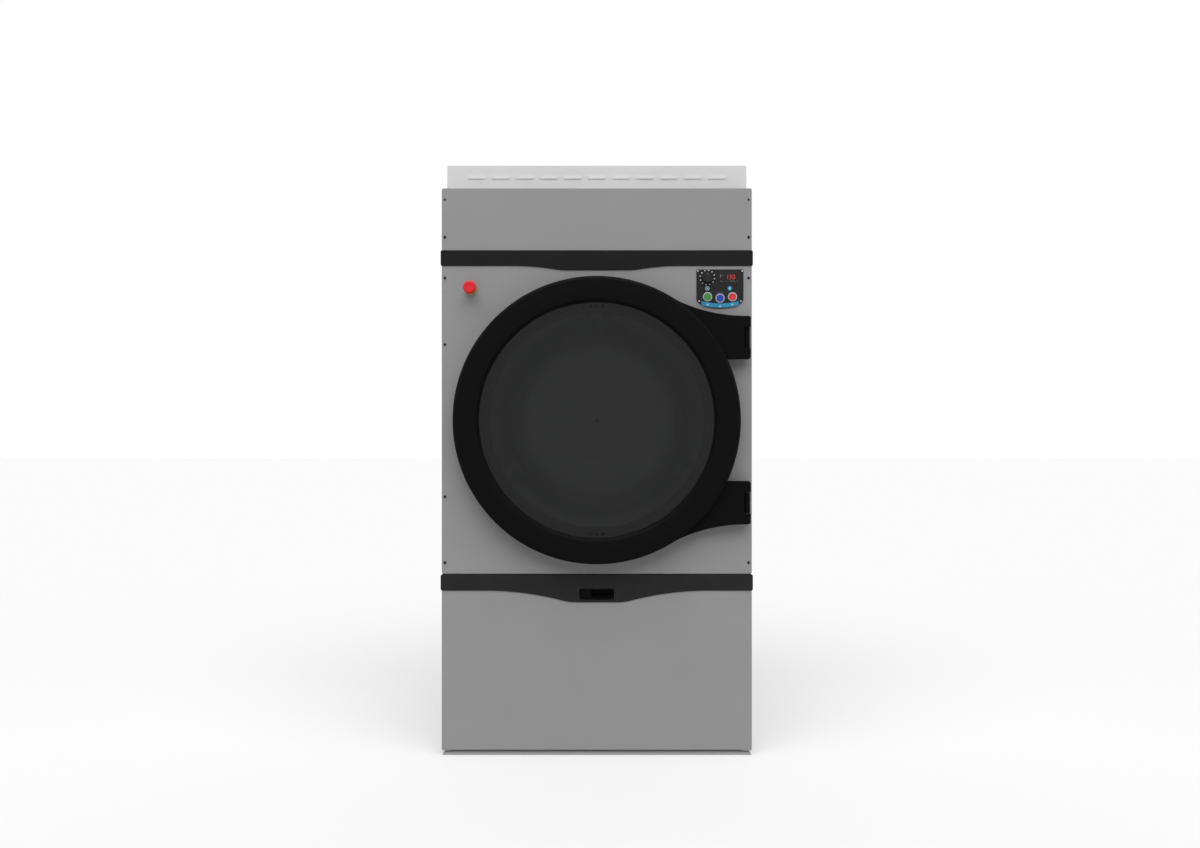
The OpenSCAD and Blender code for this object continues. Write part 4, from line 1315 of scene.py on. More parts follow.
@dataclass
class Door:
    """The round glazed door and its hinges."""

    ring_inner: float = 358.0
    ring_outer: float = 438.5
    wall: float = 4.0
    frame_inner: float = 331.0
    sweep_radius: float = 499.0
    sweep_x: float = 458.0
    arm_end: float = 471.4
    arm_tip: float = 243.0
    arm_height: float = 132.0
    arm_level: float = 253.0
    knuckle: float = 64.0
    studs: Sequence[float] = (-18.5, 0.0, 18.5)
    stud_level: float = 346.0
    port_inner: float = 345.0

    def build(self) -> None:
        """Makes every piece of the door and of its hinges."""
        self.ring()
        self.pane()
        self.inner_frame()
        self.arms()
        carried("hinge_brackets", RING, Body.CABINET, 0.8)
        carried("hinge_pins", BRIGHT, Body.CABINET, 0.6)
        self.port()

    def ring(self) -> None:
        """The moulded ring: a crowned face, a soft outer rim and a lead-in to the glass."""
        box = Extent.of("door_ring")
        front, back = box.front, box.back
        inner, outer, wall = self.ring_inner, self.ring_outer, self.wall
        profile = filleted([
            (inner, back, 0.5), (inner, front + 12, 5), (inner + 9, front + 1.2, 7),
            ((inner + outer) / 2, front, 300), (outer - 7, front + 1.4, 7),
            (outer, front + 9, 7), (outer, back, 0.8), (outer - wall, back, 0.5),
            (outer - wall, front + 14, 3), (outer - 13, front + 6, 3),
            (inner + 13, front + 6, 3), (inner + wall, front + 15, 3),
            (inner + wall, back, 0.5)], 6)
        finished("door_ring_moulding", Shape().turned(profile, box.middle, 256), RING, Body.DOOR,
                 ["door_ring"], 32)

    def pane(self) -> None:
        """The tinted pane, with ground edges."""
        box = Extent.of("door_glass")
        radius = box.width / 2
        profile = filleted([(0.0, box.front, 0), (radius, box.front, 0.8),
                            (radius, box.back, 0.8), (0.0, box.back, 0)], 2)
        finished("door_pane", Shape().turned(profile, box.middle, 192), GLASS, Body.DOOR,
                 ["door_glass"])

    def inner_frame(self) -> None:
        """The pressed frame behind the glass, the straps to the arms and its screws."""
        box = Extent.of("door_inner_frame")
        middle = Extent.of("door_ring").middle
        back = box.back
        front = back - 6
        profile = filleted([(self.frame_inner, front, 0), (self.frame_inner, back, 1.6),
                            (362, back, 0.6), (366, back - 2, 0.6), (430, back - 2, 0.6),
                            (436, back, 1.2), (436, front, 0)], 4)
        finished("door_inner_ring", Shape().turned(profile, middle, 192), FRAME, Body.DOOR,
                 ["door_inner_frame"])
        band = [(368, box.front), (370, box.front), (370, front), (368, front)]
        finished("door_pane_band", Shape().turned(band, middle, 192), FRAME, Body.DOOR)
        for side, name in ((1, "upper"), (-1, "lower")):
            strap = rounded_box((374, middle[1] + side * self.arm_level), 148, 104, 8)
            plate = Shape().slab(strap, front + 0.4, front + 5, (), 0.6, 0.6, 2)
            finished(f"hinge_strap_{name}", plate, FRAME, Body.DOOR)
        face = Extent.of("door_glass").front
        spots = [place(x, face, middle[1] + side * self.stud_level)
                 for x in self.studs for side in (-1, 1)]
        PANE_STUDS.set_out("pane_studs", spots, CUP, Body.DOOR)

    def arm_outline(self) -> Loop:
        """The upper arm: it sweeps out of the ring to a square end with a pocket in it."""
        cx, cz = Extent.of("door_ring").middle
        hub = self.arm_level
        top = hub + self.arm_height / 2
        low = top - self.arm_height
        rim = self.ring_outer + 0.3
        start = math.degrees(math.acos(self.arm_tip / rim))
        end = math.degrees(math.asin(low / rim))
        rim_points = arc((0, 0), rim, start, end, 16)
        sweep_start = math.degrees(math.acos((self.arm_end - self.sweep_x) / self.sweep_radius))
        sweep_end = math.degrees(math.acos((self.arm_tip - self.sweep_x) / self.sweep_radius))
        sweep = arc((self.sweep_x, top + self.sweep_radius), self.sweep_radius, -sweep_start,
                    -sweep_end, 24)
        pocket = self.knuckle / 2 + 0.6
        slot = Extent.of("hinge_brackets").left - cx - 0.8
        corner = arc((self.arm_end - 7, low + 7), 7, -90, 0, 6)
        crown = arc((self.arm_end - 5, top - 5.5), 5, 0, 90, 6)
        loop = [*rim_points, *corner, (self.arm_end, hub - pocket), (slot, hub - pocket),
                (slot, hub + pocket), (self.arm_end, hub + pocket), *crown, *sweep[1:]]
        return [(cx + x, cz + z) for x, z in thinned(loop)]

    def arms(self) -> None:
        """The two cast arms, one the mirror of the other."""
        box = Extent.of("hinge_arm_upper")
        middle = Extent.of("door_ring").middle
        upper = self.arm_outline()
        for name, loop in (("upper", upper), ("lower", flipped(upper, middle[1]))):
            shape = Shape().slab(loop, box.front, box.back, (), 3.0, 1.0, 4)
            finished(f"hinge_arm_{name}_casting", shape, RING, Body.DOOR, [f"hinge_arm_{name}"])

    def port(self) -> None:
        """The loading port with its rubber and felt seals."""
        port = Extent.of("port_ring")
        seal = Extent.of("door_seal")
        inner, flange, near = self.port_inner, 395, port.front
        funnel = filleted([(flange, near, 0), (inner + 4, near, 5), (inner, near + 8, 3),
                           (inner, port.back, 0), (inner + 2, port.back, 0),
                           (inner + 2, near + 8, 3), (inner + 5, near + 2, 3),
                           (flange, near + 2, 0)], 4)
        finished("loading_port_funnel", Shape().turned(funnel, port.middle, 192), ZINC,
                 Body.CABINET, ["port_ring"])
        outer, lip_radius = seal.width / 2, 5.4
        crest = seal.front + lip_radius
        lip = [(r, 2 * crest - d) for r, d in arc((361, crest), lip_radius, -10, 190, 16)]
        profile = [(outer, seal.back), (outer, -2.2), (outer - 1, -3), *lip, (352, -3),
                   (352, seal.back)]
        finished("door_lip_seal", Shape().turned(profile, seal.middle, 192), SEAL, Body.CABINET,
                 ["door_seal"])
        carried("drum_felt_seal", FELT, Body.CABINET, 0.6)


@dataclass
class Controls:
    """The control plate with its knob, display, buttons and print, and the stop button."""

    face: float = -4.0
    window_face: float = -4.35
    rooted: float = 0.1
    ink: float = 0.25
    collar_radius: float = 14.2
    cap_radius: float = 11.0

    def build(self) -> None:
        """Makes every control."""
        self.plate()
        self.knob()
        self.display()
        self.marks()
        self.buttons()
        self.stop()
        carried("control_board", BOARD, Body.CABINET, 0.2)

    def outline(self) -> Loop:
        """The plate's face: square shoulders and a bowed foot."""
        box = Extent.of("control_plate")
        cx, cz = box.middle
        half, tall = box.width / 2, box.height / 2
        foot, bow = 28.0, 170.0
        low = cz - tall
        spread = math.degrees(math.asin((half - foot + 9) / bow))
        bottom = arc((cx, low + bow), bow, 270 - spread, 270 + spread, 16)
        knee = 16.0
        right = arc((cx + half - knee, low + foot + 2), knee, -55, 0, 6)
        top = arc((cx + half - 3, box.top - 3), 3, 0, 90, 4)
        return bottom + right + top + mirrored(top, cx) + mirrored(right, cx)

    def plate(self) -> None:
        """The moulded plate, its corner screws and its raised collars."""
        box = Extent.of("control_plate")
        face, hole = self.face, self.cap_radius + 0.4
        buttons = [Extent.of(n).middle for n in ("start_button", "mode_button", "stop_button")]
        holes = [circle(c, self.cap_radius + 0.5, 40) for c in buttons]
        shape = Shape().slab(self.outline(), face, box.back, holes, 1.6, steps=4)
        finished("control_plate_moulding", shape, FOIL, Body.CABINET, ["control_plate"])
        for (x, z), name in zip(buttons, ("start", "mode", "stop")):
            profile = filleted([(hole, face + 2, 0), (self.collar_radius, face + 2, 0),
                                (self.collar_radius, face - 1.6, 1.2),
                                (hole, face - 1.6, 0.6)], 4)
            finished(f"{name}_collar", Shape().turned(profile, (x, z), 64), COLLAR, Body.CABINET)
        cx, cz = box.middle
        spots = [place(cx + s * 68.4, face, cz + 55) for s in (-1, 1)]
        spots += [place(cx + s * 64.6, face, cz - 38.6) for s in (-1, 1)]
        PLATE_SCREWS.set_out("control_plate_screws", spots, COLLAR, Body.CABINET)

    def knob(self) -> None:
        """The selector: a low fluted knob with a pale pointer."""
        box = Extent.of("selector_knob")
        radius = box.width / 2
        front, back = box.front, -4.5
        flutes, flute_depth = 36, 0.45
        shape = Shape()
        steps = flutes * 6
        rings = []
        for scale, depth, wave in [(0.0, front + 1.2, 0), (0.72, front + 1.2, 0),
                                   (0.78, front, 0), (0.88, front, 0.2), (0.955, front + 1.2, 1),
                                   (0.975, front + 3, 1), (1.0, back, 1)]:
            ring = []
            for k in range(steps):
                angle = 2 * math.pi * k / steps
                dent = flute_depth * wave * (0.5 - 0.5 * math.cos(flutes * angle))
                reach = radius * scale - dent
                ring.append(place(box.middle[0] + reach * math.cos(angle), depth,
                                  box.middle[1] + reach * math.sin(angle)))
            rings.append(ring)
        made = shape.rings(rings)
        shape.mesh.faces.new(made[-1])
        finished("selector_knob_fluted", shape.merged(), KNOB, Body.KNOB, ["selector_knob"], 30)
        x, z = box.middle
        pointer = Shape().slab(rounded_box((x, z + 11), 1.6, 8, 0.7, 3), front + 0.7,
                               front + 1.3, (), 0.1, steps=1)
        finished("selector_pointer", pointer, FAINT_INK, Body.KNOB)
        mark = pattern("dial_mark", shifted(
            self.printed(rounded_box((22.4, 0), 3.9, 2.8, 1.3, 3)), -place(0, 0, 0)))
        ring = Repeats.made("dial_marks", Repeats.circle(), WHITE_INK, {
            "Count": 12, "Centre": place(x, 0, z), "First Angle": math.radians(-110),
            "Turn": math.radians(30), "Piece": mark})
        discard(mark)
        register(ring, Body.CABINET)

    def printed(self, outline: Loop, holes: Sequence[Loop] = (), coats: float = 1.0) -> Shape:
        """A patch of ink on the plate, as thick as its coats."""
        return Shape().slab(outline, self.face - coats * self.ink, self.face + self.rooted, holes)

    def display(self) -> None:
        """A dark window with three lit seven-segment digits and a row of marks below."""
        cx, cz = 411.0, 1479.5
        face = self.window_face
        front, back = face - self.ink, face + 0.05
        window = Shape().slab(rounded_box((cx - 1, cz), 66, 34, 2.5), face,
                              self.face + self.rooted, (), 0.2, steps=1)
        finished("display_window", window, WINDOW, Body.CABINET, angle=30)
        left, middle = cx - 11.7, cz + 0.3
        wide, tall, pen, lean, pitch = 5.4, 12.8, 1.45, 0.06, 10.7
        lit = {"1": "bc", "3": "abgcd", "0": "abcdef"}
        bars = {"a": ((0, 1), (1, 1)), "b": ((1, 1), (1, 0)), "c": ((1, 0), (1, -1)),
                "d": ((0, -1), (1, -1)), "e": ((0, 0), (0, -1)), "f": ((0, 1), (0, 0)),
                "g": ((0, 0), (1, 0))}
        digits = Shape()
        for number, digit in enumerate("130"):
            for bar in lit[digit]:
                ends = []
                for u, v in bars[bar]:
                    z = middle + v * tall / 2
                    ends.append((left + number * pitch + u * wide + lean * (z - cz), z))
                digits.slab(self.segment(*ends, pen), front, back)
        finished("display_digits", digits, DIGIT, Body.CABINET, angle=30)
        small = Shape()
        for x, width in ((385, 10), (395, 2.5), (402, 3), (420, 16), (434.5, 3)):
            small.slab(rounded_box((x, cz - 13.2), width, 1.6, 0.7, 3), front, back)
        small.slab([(380.6, cz - 1.5), (384.4, cz - 1.5), (383.2, cz + 9), (381.8, cz + 9)],
                   front, back)
        small.slab(circle((391, cz + 5), 1.5, 16), front, back)
        finished("display_marks", small, FAINT_INK, Body.CABINET, angle=30)

    def segment(self, start: Point, end: Point, pen: float) -> Loop:
        """A bar with pointed ends between two corners of a digit."""
        a, b = Vector(start), Vector(end)
        along = (b - a).normalized()
        across = Vector((-along.y, along.x)) * pen / 2
        gap = 0.4
        a, b = a + along * gap, b - along * gap
        tip = along * pen / 2
        points = [a, a + tip - across, b - tip - across, b, b - tip + across, a + tip + across]
        return [(p.x, p.y) for p in points]

    def marks(self) -> None:
        """The print on the plate: a bowed strip, an outline round the buttons and two discs."""
        cx, _ = Extent.of("control_plate").middle
        half, bend = 57.5, 236.0
        top_z, foot_z = 1397.7, 1384.9
        spread = math.degrees(math.asin(half / bend))
        upper = arc((cx, top_z + bend), bend, 270 + spread, 270 - spread, 16)
        lower = arc((cx, foot_z + bend), bend, 270 - spread, 270 + spread, 16)
        strip = filleted([(x, z, 4.0 if k in (0, 16) else 0.0) for k, (x, z) in enumerate(lower)]
                         + [(x, z, 0.0) for x, z in upper], 4)
        finished("print_strip", self.printed(strip), CYAN_INK, Body.CABINET, angle=30)
        inner_top, shoulder = 1433.5, 24.0
        hidden = arc((cx, top_z - 4 + bend), bend, 270 - spread, 270 + spread, 16)
        frame = filleted([(x, z, 0.0) for x, z in hidden]
                         + [(cx + half, inner_top, shoulder), (cx - half, inner_top, shoulder)], 8)
        line = self.printed(frame, [grown(frame, -1.2)], 0.6)
        finished("print_outline", line, TEAL_INK, Body.CABINET, angle=30)
        left, right = (342.2, 1444.4), (411.1, 1444.4)
        base, ink_face = self.face + self.rooted, self.face - self.ink
        pale = self.printed(circle(left, 6.6), [circle(left, 3.9, 24)])
        pale.slab(circle(left, 2.0, 16), ink_face, base)
        finished("print_ring_sign", pale, PALE_INK, Body.CABINET, angle=30)
        disc = self.printed(circle(right, 6.8))
        finished("print_disc", disc, CYAN_INK, Body.CABINET, angle=30)
        bar = self.printed(rounded_box(right, 2.6, 7.6, 1.2, 3), coats=2)
        for spot in ((343.0, 1394.0), (381.5, 1388.6), (419.0, 1394.6)):
            bar.slab(circle(spot, 2.7, 20), ink_face - self.ink, base, [circle(spot, 1.2, 12)])
        finished("print_signs", bar, WHITE_INK, Body.CABINET, angle=30)

    def buttons(self) -> None:
        """The three domed caps."""
        for node, finish, body in (("start_button", GREEN, Body.START),
                                   ("mode_button", BLUE, Body.MODE),
                                   ("stop_button", RED, Body.STOP)):
            box = Extent.of(node)
            radius, front = self.cap_radius, box.front
            profile = filleted([(0.0, front + 0.9, 0), (radius - 4.5, front + 0.5, 8),
                                (radius - 1.2, front, 1.0), (radius, front + 1.3, 0.8),
                                (radius, 0.4, 0), (radius + 2, 0.4, 0), (radius + 2, 3, 0),
                                (radius, 3, 0), (radius, 6, 0), (0.0, 6, 0)], 4)
            finished(node + "_cap", Shape().turned(profile, box.middle, 64), finish, body, [node])

    def stop(self) -> None:
        """The stop button: a red mushroom head on a stem in a yellow collar."""
        head = Extent.of("estop_head")
        radius = head.width / 2
        front = head.front
        profile = filleted([(0.0, front + 1.6, 0), (radius * 0.5, front + 0.4, 30),
                            (radius - 4, front, 5), (radius - 0.4, front + 3.5, 4),
                            (radius, front + 12, 3), (radius - 1.2, front + 16, 1.2),
                            (radius - 5, front + 16, 1), (14, head.back, 1.5),
                            (0.0, head.back, 0)], 5)
        finished("stop_mushroom", Shape().turned(profile, head.middle, 96), STOP_RED,
                 Body.STOP_CAP, ["estop_head"], 34)
        base = Extent.of("estop_base")
        rim, bore = base.width / 2, 9.1
        collar = filleted([(bore, -10, 0.6), (rim - 1.5, -10, 1.2), (rim, -7.5, 1.5),
                           (rim, 0, 0), (bore, 0, 0)], 4)
        finished("stop_collar", Shape().turned(collar, head.middle, 96), STOP_YELLOW,
                 Body.CABINET)
        neck, nut, nut_back = 11.2, 16, 45
        body = Shape().turned([(bore, 0), (neck, 0), (neck, 1.5), (nut, 1.5), (nut, nut_back),
                               (bore, nut_back)], head.middle, 64)
        body.block((base.left + 5, base.right - 5), (nut_back, base.back),
                   (base.bottom + 1, base.top - 1))
        finished("stop_switch_body", body, CUP, Body.CABINET, ["estop_base"])
        carried("estop_plunger", CUP, Body.STOP_STEM, 0.4)


@dataclass
class LintDrawer:
    """The lower front, its band and pull, and the tray with the lint screen."""

    cup: tuple[float, float, float, float] = (0.0, 498.3, 109.0, 34.0)
    wire_pitch: float = 9.0
    wire_radius: float = 0.6

    def build(self) -> None:
        """Makes every piece of the drawer."""
        self.front()
        self.pull()
        self.tray()

    def front(self) -> None:
        """The grey front and its black band."""
        cx, cz, wide, tall = self.cup
        hole = rounded_box((cx, cz), wide - 4, tall - 4, 4)
        box = Extent.of("drawer_front")
        fold = 3.0
        outline = rounded_box(box.middle, box.width, box.height, 4)
        sheet = Shape().slab(outline, box.front, box.back, [hole], Cabinet.bend,
                             open_back=True, stops=[fold])
        low, high = place(0, 0, box.bottom + NEAR).z, place(0, 0, box.top - NEAR).z
        deep = place(0, fold, 0).y
        sheet.without(lambda p: (p.z > high or p.z < low) and p.y > deep)
        finished("drawer_front_sheet", sheet, PANEL, Body.DRAWER, ["drawer_front"], wall=1.1)
        band = TrimBand("lower_trim", dip=36.2, flat=62.0, knee=950.0, foot=180.0, height=49.4)
        cut = rounded_box((cx, cz), wide, tall, 5)
        # The band's lighter colour is painted reflection of the floor, not a different plastic.
        finished("lower_trim_band", band.shape([cut]), LOWER_TRIM_PAINTED_REFLECTION, Body.DRAWER, ["lower_trim"],
                 wall=band.thickness)

    def pull(self) -> None:
        """The flush pull: a frame, a finger scoop with a sloping floor, and a seat for the lock."""
        cx, cz, wide, tall = self.cup
        face, seat_floor, deep = -4.0, 2.0, 24.0
        outer = rounded_box((cx, cz), wide - 0.4, tall - 0.4, 4.8)
        mouth = rounded_box((cx + 16, cz), 70, 26, 3)
        far = rounded_box((cx + 16, cz + 4.5), 60, 14, 3)
        seat = rounded_box((cx - 37, cz), 28, 26, 3)
        bore = circle((cx - 39, cz), 9.3, 40)
        shape = Shape()
        shape.cap([[shape.mesh.verts.new(place(x, face, z)) for x, z in loop]
                   for loop in (grown(outer, -0.8), grown(mouth, 0.8), grown(seat, 0.6))])
        shape.rings([[place(x, d, z) for x, z in grown(outer, g)]
                     for g, d in ((-0.8, face), (-0.2, face + 0.3), (0, face + 0.9), (0, 0.0))])
        walls = [grown(mouth, 0.8), grown(mouth, 0.2), mouth, far, grown(far, -1.0)]
        made = shape.rings([[place(x, d, z) for x, z in loop] for loop, d in
                            zip(walls, (face, face + 0.3, face + 1.0, deep - 1.0, deep))])
        shape.cap([made[-1]])
        made = shape.rings([[place(x, d, z) for x, z in grown(seat, g)]
                            for g, d in ((0.6, face), (0.0, face + 0.8), (0.0, seat_floor))])
        hole = shape.rings([[place(x, d, z) for x, z in bore] for d in (seat_floor, 7.0)])
        shape.cap([made[-1], hole[0]])
        finished("pull_cup_moulding", shape.merged(), CUP, Body.DRAWER, ["pull_cup"], wall=1.2)
        carried("drawer_lock", CUP, Body.LOCK, 0.35)

    def tray(self) -> None:
        """The sheet tray, and the screen: a frame with wires both ways."""
        carried("drawer_tray", ZINC, Body.DRAWER, 0.2)
        box = Extent.of("lint_screen")
        low, high = box.bottom, box.top
        border, rail = 20.0, 6.0
        left, right, near, far = box.left, box.right, box.front, box.back
        frame = Shape()
        frame.block((left, right), (near, near + border), (low, high))
        frame.block((left, right), (far - border, far), (low, high))
        frame.block((left, left + border), (near + border, far - border), (low, high))
        frame.block((right - border, right), (near + border, far - border), (low, high))
        frame.block((-rail, rail), (near + border, far - border), (low + 1, high))
        finished("lint_screen_frame", frame, ZINC, Body.DRAWER, ["lint_screen"])
        level = low + 2.2
        across = int((right - left - 2 * border) / self.wire_pitch)
        deep = int((far - near - 2 * border) / self.wire_pitch)
        # A real screen's wires are under 1 mm apart. These are coarser, so that they show.
        runs = (("lint_screen_warp", across, Vector((self.wire_pitch, 0, 0)),
                 Vector((0, far - near - 2 * border, 0)), level),
                ("lint_screen_weft", deep, Vector((0, self.wire_pitch, 0)),
                 Vector((right - left - 2 * border, 0, 0)), level + 2 * self.wire_radius))
        for name, count, step, span, z in runs:
            wires = Repeats.made(name, Repeats.wires(), BRIGHT, {
                "Count": count, "Step": step * MM, "Span": span * MM,
                "First": place(left + border + self.wire_pitch / 2 * (step.x > 0),
                               near + border + self.wire_pitch / 2 * (step.y > 0), z),
                "Wire Radius": self.wire_radius * MM})
            register(wires, Body.DRAWER)


@dataclass
class Drum:
    """The perforated drum with its lifters, back, shaft and pulley."""

    around: int = 120
    along: int = 30
    hole: float = 0.19
    wall: float = 1.2
    lifters: int = 3
    lifter_ends: Point = (90.0, 740.0)
    lifter_height: float = 61.0
    lifter_half: float = 45.0

    def build(self) -> None:
        """Makes every piece that turns with the drum."""
        self.shell()
        self.back()
        self.lifter_set()
        carried("drum_shaft", BLACK_OXIDE, Body.DRUM, 0.5)
        carried("drum_pulley", IRON, Body.DRUM, 0.6)

    def cell(self) -> Shape:
        """One square of sheet, a unit wide, with a round hole in the middle."""
        shape = Shape()
        sides = 8
        corners = [(-0.5, -0.5), (0, -0.5), (0.5, -0.5), (0.5, 0), (0.5, 0.5), (0, 0.5),
                   (-0.5, 0.5), (-0.5, 0)]
        hole = [(self.hole * math.cos(a), self.hole * math.sin(a))
                for a in (math.radians(225) + 2 * math.pi * k / sides for k in range(sides))]
        outer = [shape.mesh.verts.new((x, y, 0)) for x, y in corners]
        inner = [shape.mesh.verts.new((x, y, 0)) for x, y in hole]
        for a, b, c, d in zip(outer, outer[1:] + outer[:1], inner[1:] + inner[:1], inner):
            shape.mesh.faces.new((a, b, c, d))
        return shape

    def shell(self) -> None:
        """The pierced skin, and the plain rims at both ends of it."""
        box = Extent.of("drum_shell")
        radius = box.width / 2 - self.wall / 2
        plain = 24.0
        length = box.back - box.front - 2 * plain - 16
        cell = pattern("drum_cell", self.cell())
        skin = Repeats.made("drum_skin", Repeats.perforated(), DRUM_STEEL, {
            "Around": self.around, "Along": self.along, "Radius": radius * MM,
            "Length": length * MM, "Cell": cell,
            "Start": place(box.middle[0], box.front + plain + length / self.along / 2,
                           box.middle[1])})
        discard(cell)
        thicken(skin, self.wall, 0)
        soften(skin.data, CRISP)
        register(skin, Body.DRUM)
        near, start = box.front, box.front + plain
        end = start + length
        inside, outside, mouth = radius - self.wall / 2, radius + self.wall / 2, 352
        front = filleted([(mouth, near, 0.5), (mouth, near + 2, 0.5), (inside - 6, near + 2, 0.5),
                          (inside, near + 8, 6), (inside, start, 0), (outside, start, 0),
                          (outside, near + 4, 4), (radius - 4, near, 2)], 4)
        finished("drum_front_rim", Shape().turned(front, box.middle, 240), DRUM_STEEL, Body.DRUM,
                 ["drum_shell"])
        rear = [(inside, end), (inside, box.back), (outside, box.back), (outside, end)]
        finished("drum_rear_rim", Shape().turned(rear, box.middle, 240), DRUM_STEEL, Body.DRUM)

    def back(self) -> None:
        """The pressed back: a flat disc stepped forward, and a boss for the shaft."""
        box = Extent.of("drum_back")
        face, rim = box.front, box.front + 10
        disc, outer = 320.0, 419.5
        bore, boss, boss_bore = 8.2, 80, 20.1
        profile = filleted([(bore, face, 0.5), (disc, face, 8), (disc + 10, rim, 8),
                            (outer - 8, rim, 4), (outer, rim + 6, 6), (outer, rim + 14, 0),
                            (outer - 1.5, rim + 14, 0), (outer - 1.5, rim + 7, 5),
                            (outer - 9, rim + 2, 4), (disc + 9, rim + 2, 8),
                            (disc - 1, face + 2, 8), (boss, face + 2, 0),
                            (boss, face + 14, 0), (boss_bore, face + 14, 0),
                            (boss_bore, face + 2, 0), (bore, face + 2, 0)], 4)
        # Its steel is lighter than the drum's: painted light on the disc seen through the pane.
        finished("drum_back_pressing", Shape().turned(profile, box.middle, 240), DISC_STEEL_WITH_PAINTED_LIGHT,
                 Body.DRUM, ["drum_back"])

    def lifter_set(self) -> None:
        """The lifters: hollow pressed ribs that taper at both ends."""
        box = Extent.of("drum_shell")
        radius = box.width / 2 - 1.6
        near, far = self.lifter_ends
        sections = ((0, 0.04), (0.03, 0.5), (0.07, 0.8), (0.14, 0.97), (0.22, 1.0),
                    (0.78, 1.0), (0.86, 0.97), (0.93, 0.8), (0.97, 0.5), (1, 0.04))
        shape = Shape()
        steps = 14
        for k in range(self.lifters):
            turn = Matrix.Rotation(2 * math.pi / self.lifters * k, 3, "Y")
            rows = []
            for part, grow in sections:
                row = []
                for s in range(steps + 1):
                    u = 2 * s / steps - 1
                    crown = math.cos(math.pi / 2 * u) ** 0.75 if abs(u) < 1 else 0
                    x = self.lifter_half * u * (0.55 + 0.45 * abs(u))
                    foot = math.sqrt(radius ** 2 - x ** 2)
                    spun = turn @ Vector((x, 0, foot - self.lifter_height * grow * crown))
                    row.append(place(box.middle[0] + spun.x, near + (far - near) * part,
                                     box.middle[1] + spun.z))
                rows.append(row)
            shape.sheet(rows)
        finished("drum_lifter_ribs", shape, DRUM_STEEL, Body.DRUM, ["drum_lifters"], 50, wall=-1.2)


@dataclass
class Drive:
    """Motors, belts, jackshaft and fan."""

    def build(self) -> None:
        """Dresses the pieces that drive the drum and the air."""
        for node, finish, body in (("drum_motor", MOTOR, Body.CABINET),
                                   ("fan_motor", MOTOR, Body.CABINET),
                                   ("drum_belt", BELT, Body.CABINET),
                                   ("motor_belt", BELT, Body.CABINET),
                                   ("fan_scroll", ZINC, Body.CABINET),
                                   ("jackshaft", TURNED, Body.JACKSHAFT),
                                   ("motor_pulley", TURNED, Body.MOTOR),
                                   ("fan_impeller", ZINC, Body.FAN)):
            carried(node, finish, body, 0.0 if "belt" in node else 0.3)


@dataclass(frozen=True)
class Lamp:
    """A broad, even lamp far off.

    Its azimuth is in degrees to the right of straight in front. How wide it looks, in degrees,
    sets how soft its shadows are.
    """

    name: str
    azimuth: float
    elevation: float
    strength: float
    width: float

    def light(self) -> None:
        """Sets the lamp up."""
        data = bpy.data.lights.new(self.name, "SUN")
        data.energy = self.strength
        data.angle = math.radians(self.width)
        linked(self.name, data).rotation_euler = Euler((
            math.radians(90 - self.elevation), 0, math.radians(self.azimuth)))


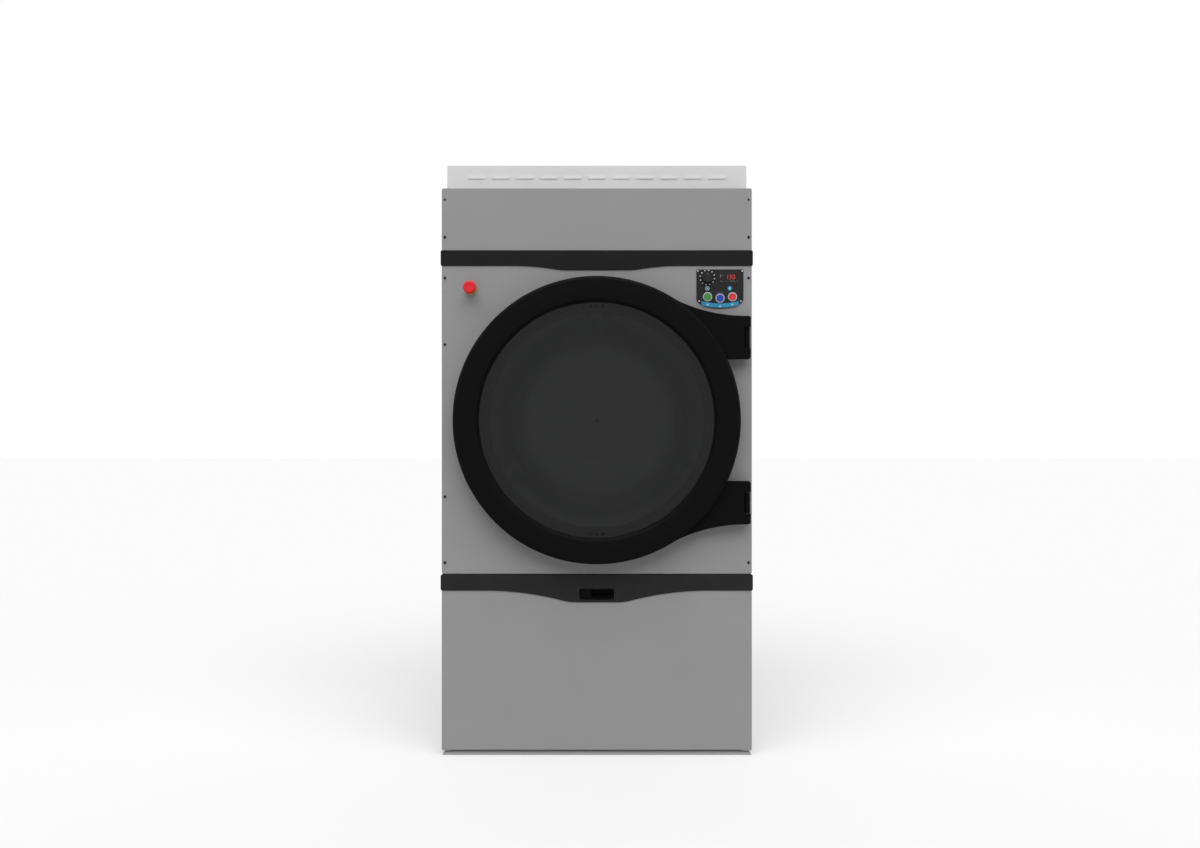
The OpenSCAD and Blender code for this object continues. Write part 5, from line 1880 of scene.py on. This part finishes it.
@dataclass
class Studio:
    """The camera, the lamps and the pale floor."""

    lens: float = 34.9
    distance: float = 3.6
    height: float = 1.025
    aside: float = 0.010
    floor_tone: float = 0.56
    floor_lift: float = 0.24
    sky: float = 0.1
    # One high in front, weaker ones to each side, and one behind.
    lamps: Sequence[Lamp] = (
        Lamp("front_lamp", 0, 60, 3.45, 70), Lamp("left_lamp", -55, 28, 0.25, 50),
        Lamp("right_lamp", 55, 28, 0.25, 50), Lamp("back_lamp", 180, 58, 0.65, 70))

    def build(self) -> None:
        """Sets up everything round the object."""
        self.camera()
        self.floor()
        for lamp in self.lamps:
            lamp.light()
        self.world()
        bpy.context.scene.view_settings.view_transform = "Standard"

    def camera(self) -> None:
        """A level camera straight in front."""
        data = bpy.data.cameras.new("front_camera")
        data.lens = self.lens
        data.sensor_width = 36
        data.clip_end = 100
        camera = linked("front_camera", data)
        camera.location = (self.aside, Datum.front - self.distance, self.height)
        camera.rotation_euler = Euler((math.radians(90), 0, 0))
        bpy.context.scene.camera = camera

    def floor(self) -> None:
        """A wide pale floor that takes the shadow."""
        mesh = bpy.data.meshes.new("floor")
        reach = 30
        mesh.from_pydata([(-reach, -reach, 0), (reach, -reach, 0), (reach, reach, 0),
                          (-reach, reach, 0)], [], [(0, 1, 2, 3)])
        floor = linked("floor", mesh)
        material = bpy.data.materials.new("painted_studio_floor")
        material.use_nodes = True
        tree = material.node_tree
        tree.nodes.clear()
        paint = add_node(tree, "ShaderNodeBsdfDiffuse", {"Color": (*[self.floor_tone] * 3, 1)})
        lift = maths(tree, "MULTIPLY", self.seen(tree), self.floor_lift)
        glow = add_node(tree, "ShaderNodeEmission", {"Strength": lift})
        both = add_node(tree, "ShaderNodeAddShader", {0: paint.outputs[0], 1: glow.outputs[0]})
        output = add_node(tree, "ShaderNodeOutputMaterial")
        tree.links.new(both.outputs[0], output.inputs["Surface"])
        mesh.materials.append(material)

    def seen(self, tree: bpy.types.NodeTree) -> bpy.types.NodeSocket:
        """One for the rays that the camera, a mirror or a pane sends out, and nought for others."""
        path = add_node(tree, "ShaderNodeLightPath")
        direct = maths(tree, "MAXIMUM", path.outputs["Is Camera Ray"],
                       path.outputs["Is Glossy Ray"])
        return maths(tree, "MAXIMUM", direct, path.outputs["Is Transmission Ray"])

    def world(self) -> None:
        """An even sky that camera, mirror and glass rays see as white."""
        world = bpy.data.worlds.new("studio_sky")
        bpy.context.scene.world = world
        world.use_nodes = True
        tree = world.node_tree
        tree.nodes.clear()
        strength = add_node(tree, "ShaderNodeMapRange", {
            "Value": self.seen(tree), "To Min": self.sky, "To Max": 1.0})
        sky = add_node(tree, "ShaderNodeBackground", {
            "Color": (1, 1, 1, 1), "Strength": strength.outputs["Result"]})
        output = add_node(tree, "ShaderNodeOutputWorld")
        tree.links.new(sky.outputs[0], output.inputs["Surface"])


def main() -> None:
    """Loads the frame and builds the dryer and the studio round it."""
    logging.basicConfig(level=logging.INFO, format="%(name)s: %(message)s")
    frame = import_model()
    Datum.read()
    FRAME_NODES.update(frame["nodes"])
    Studio().build()
    for assembly in (Cabinet(), Door(), Controls(), LintDrawer(), Drum(), Drive()):
        assembly.build()
        log.info("%s is complete", type(assembly).__name__)
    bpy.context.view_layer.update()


if __name__ == "__main__":
    main()
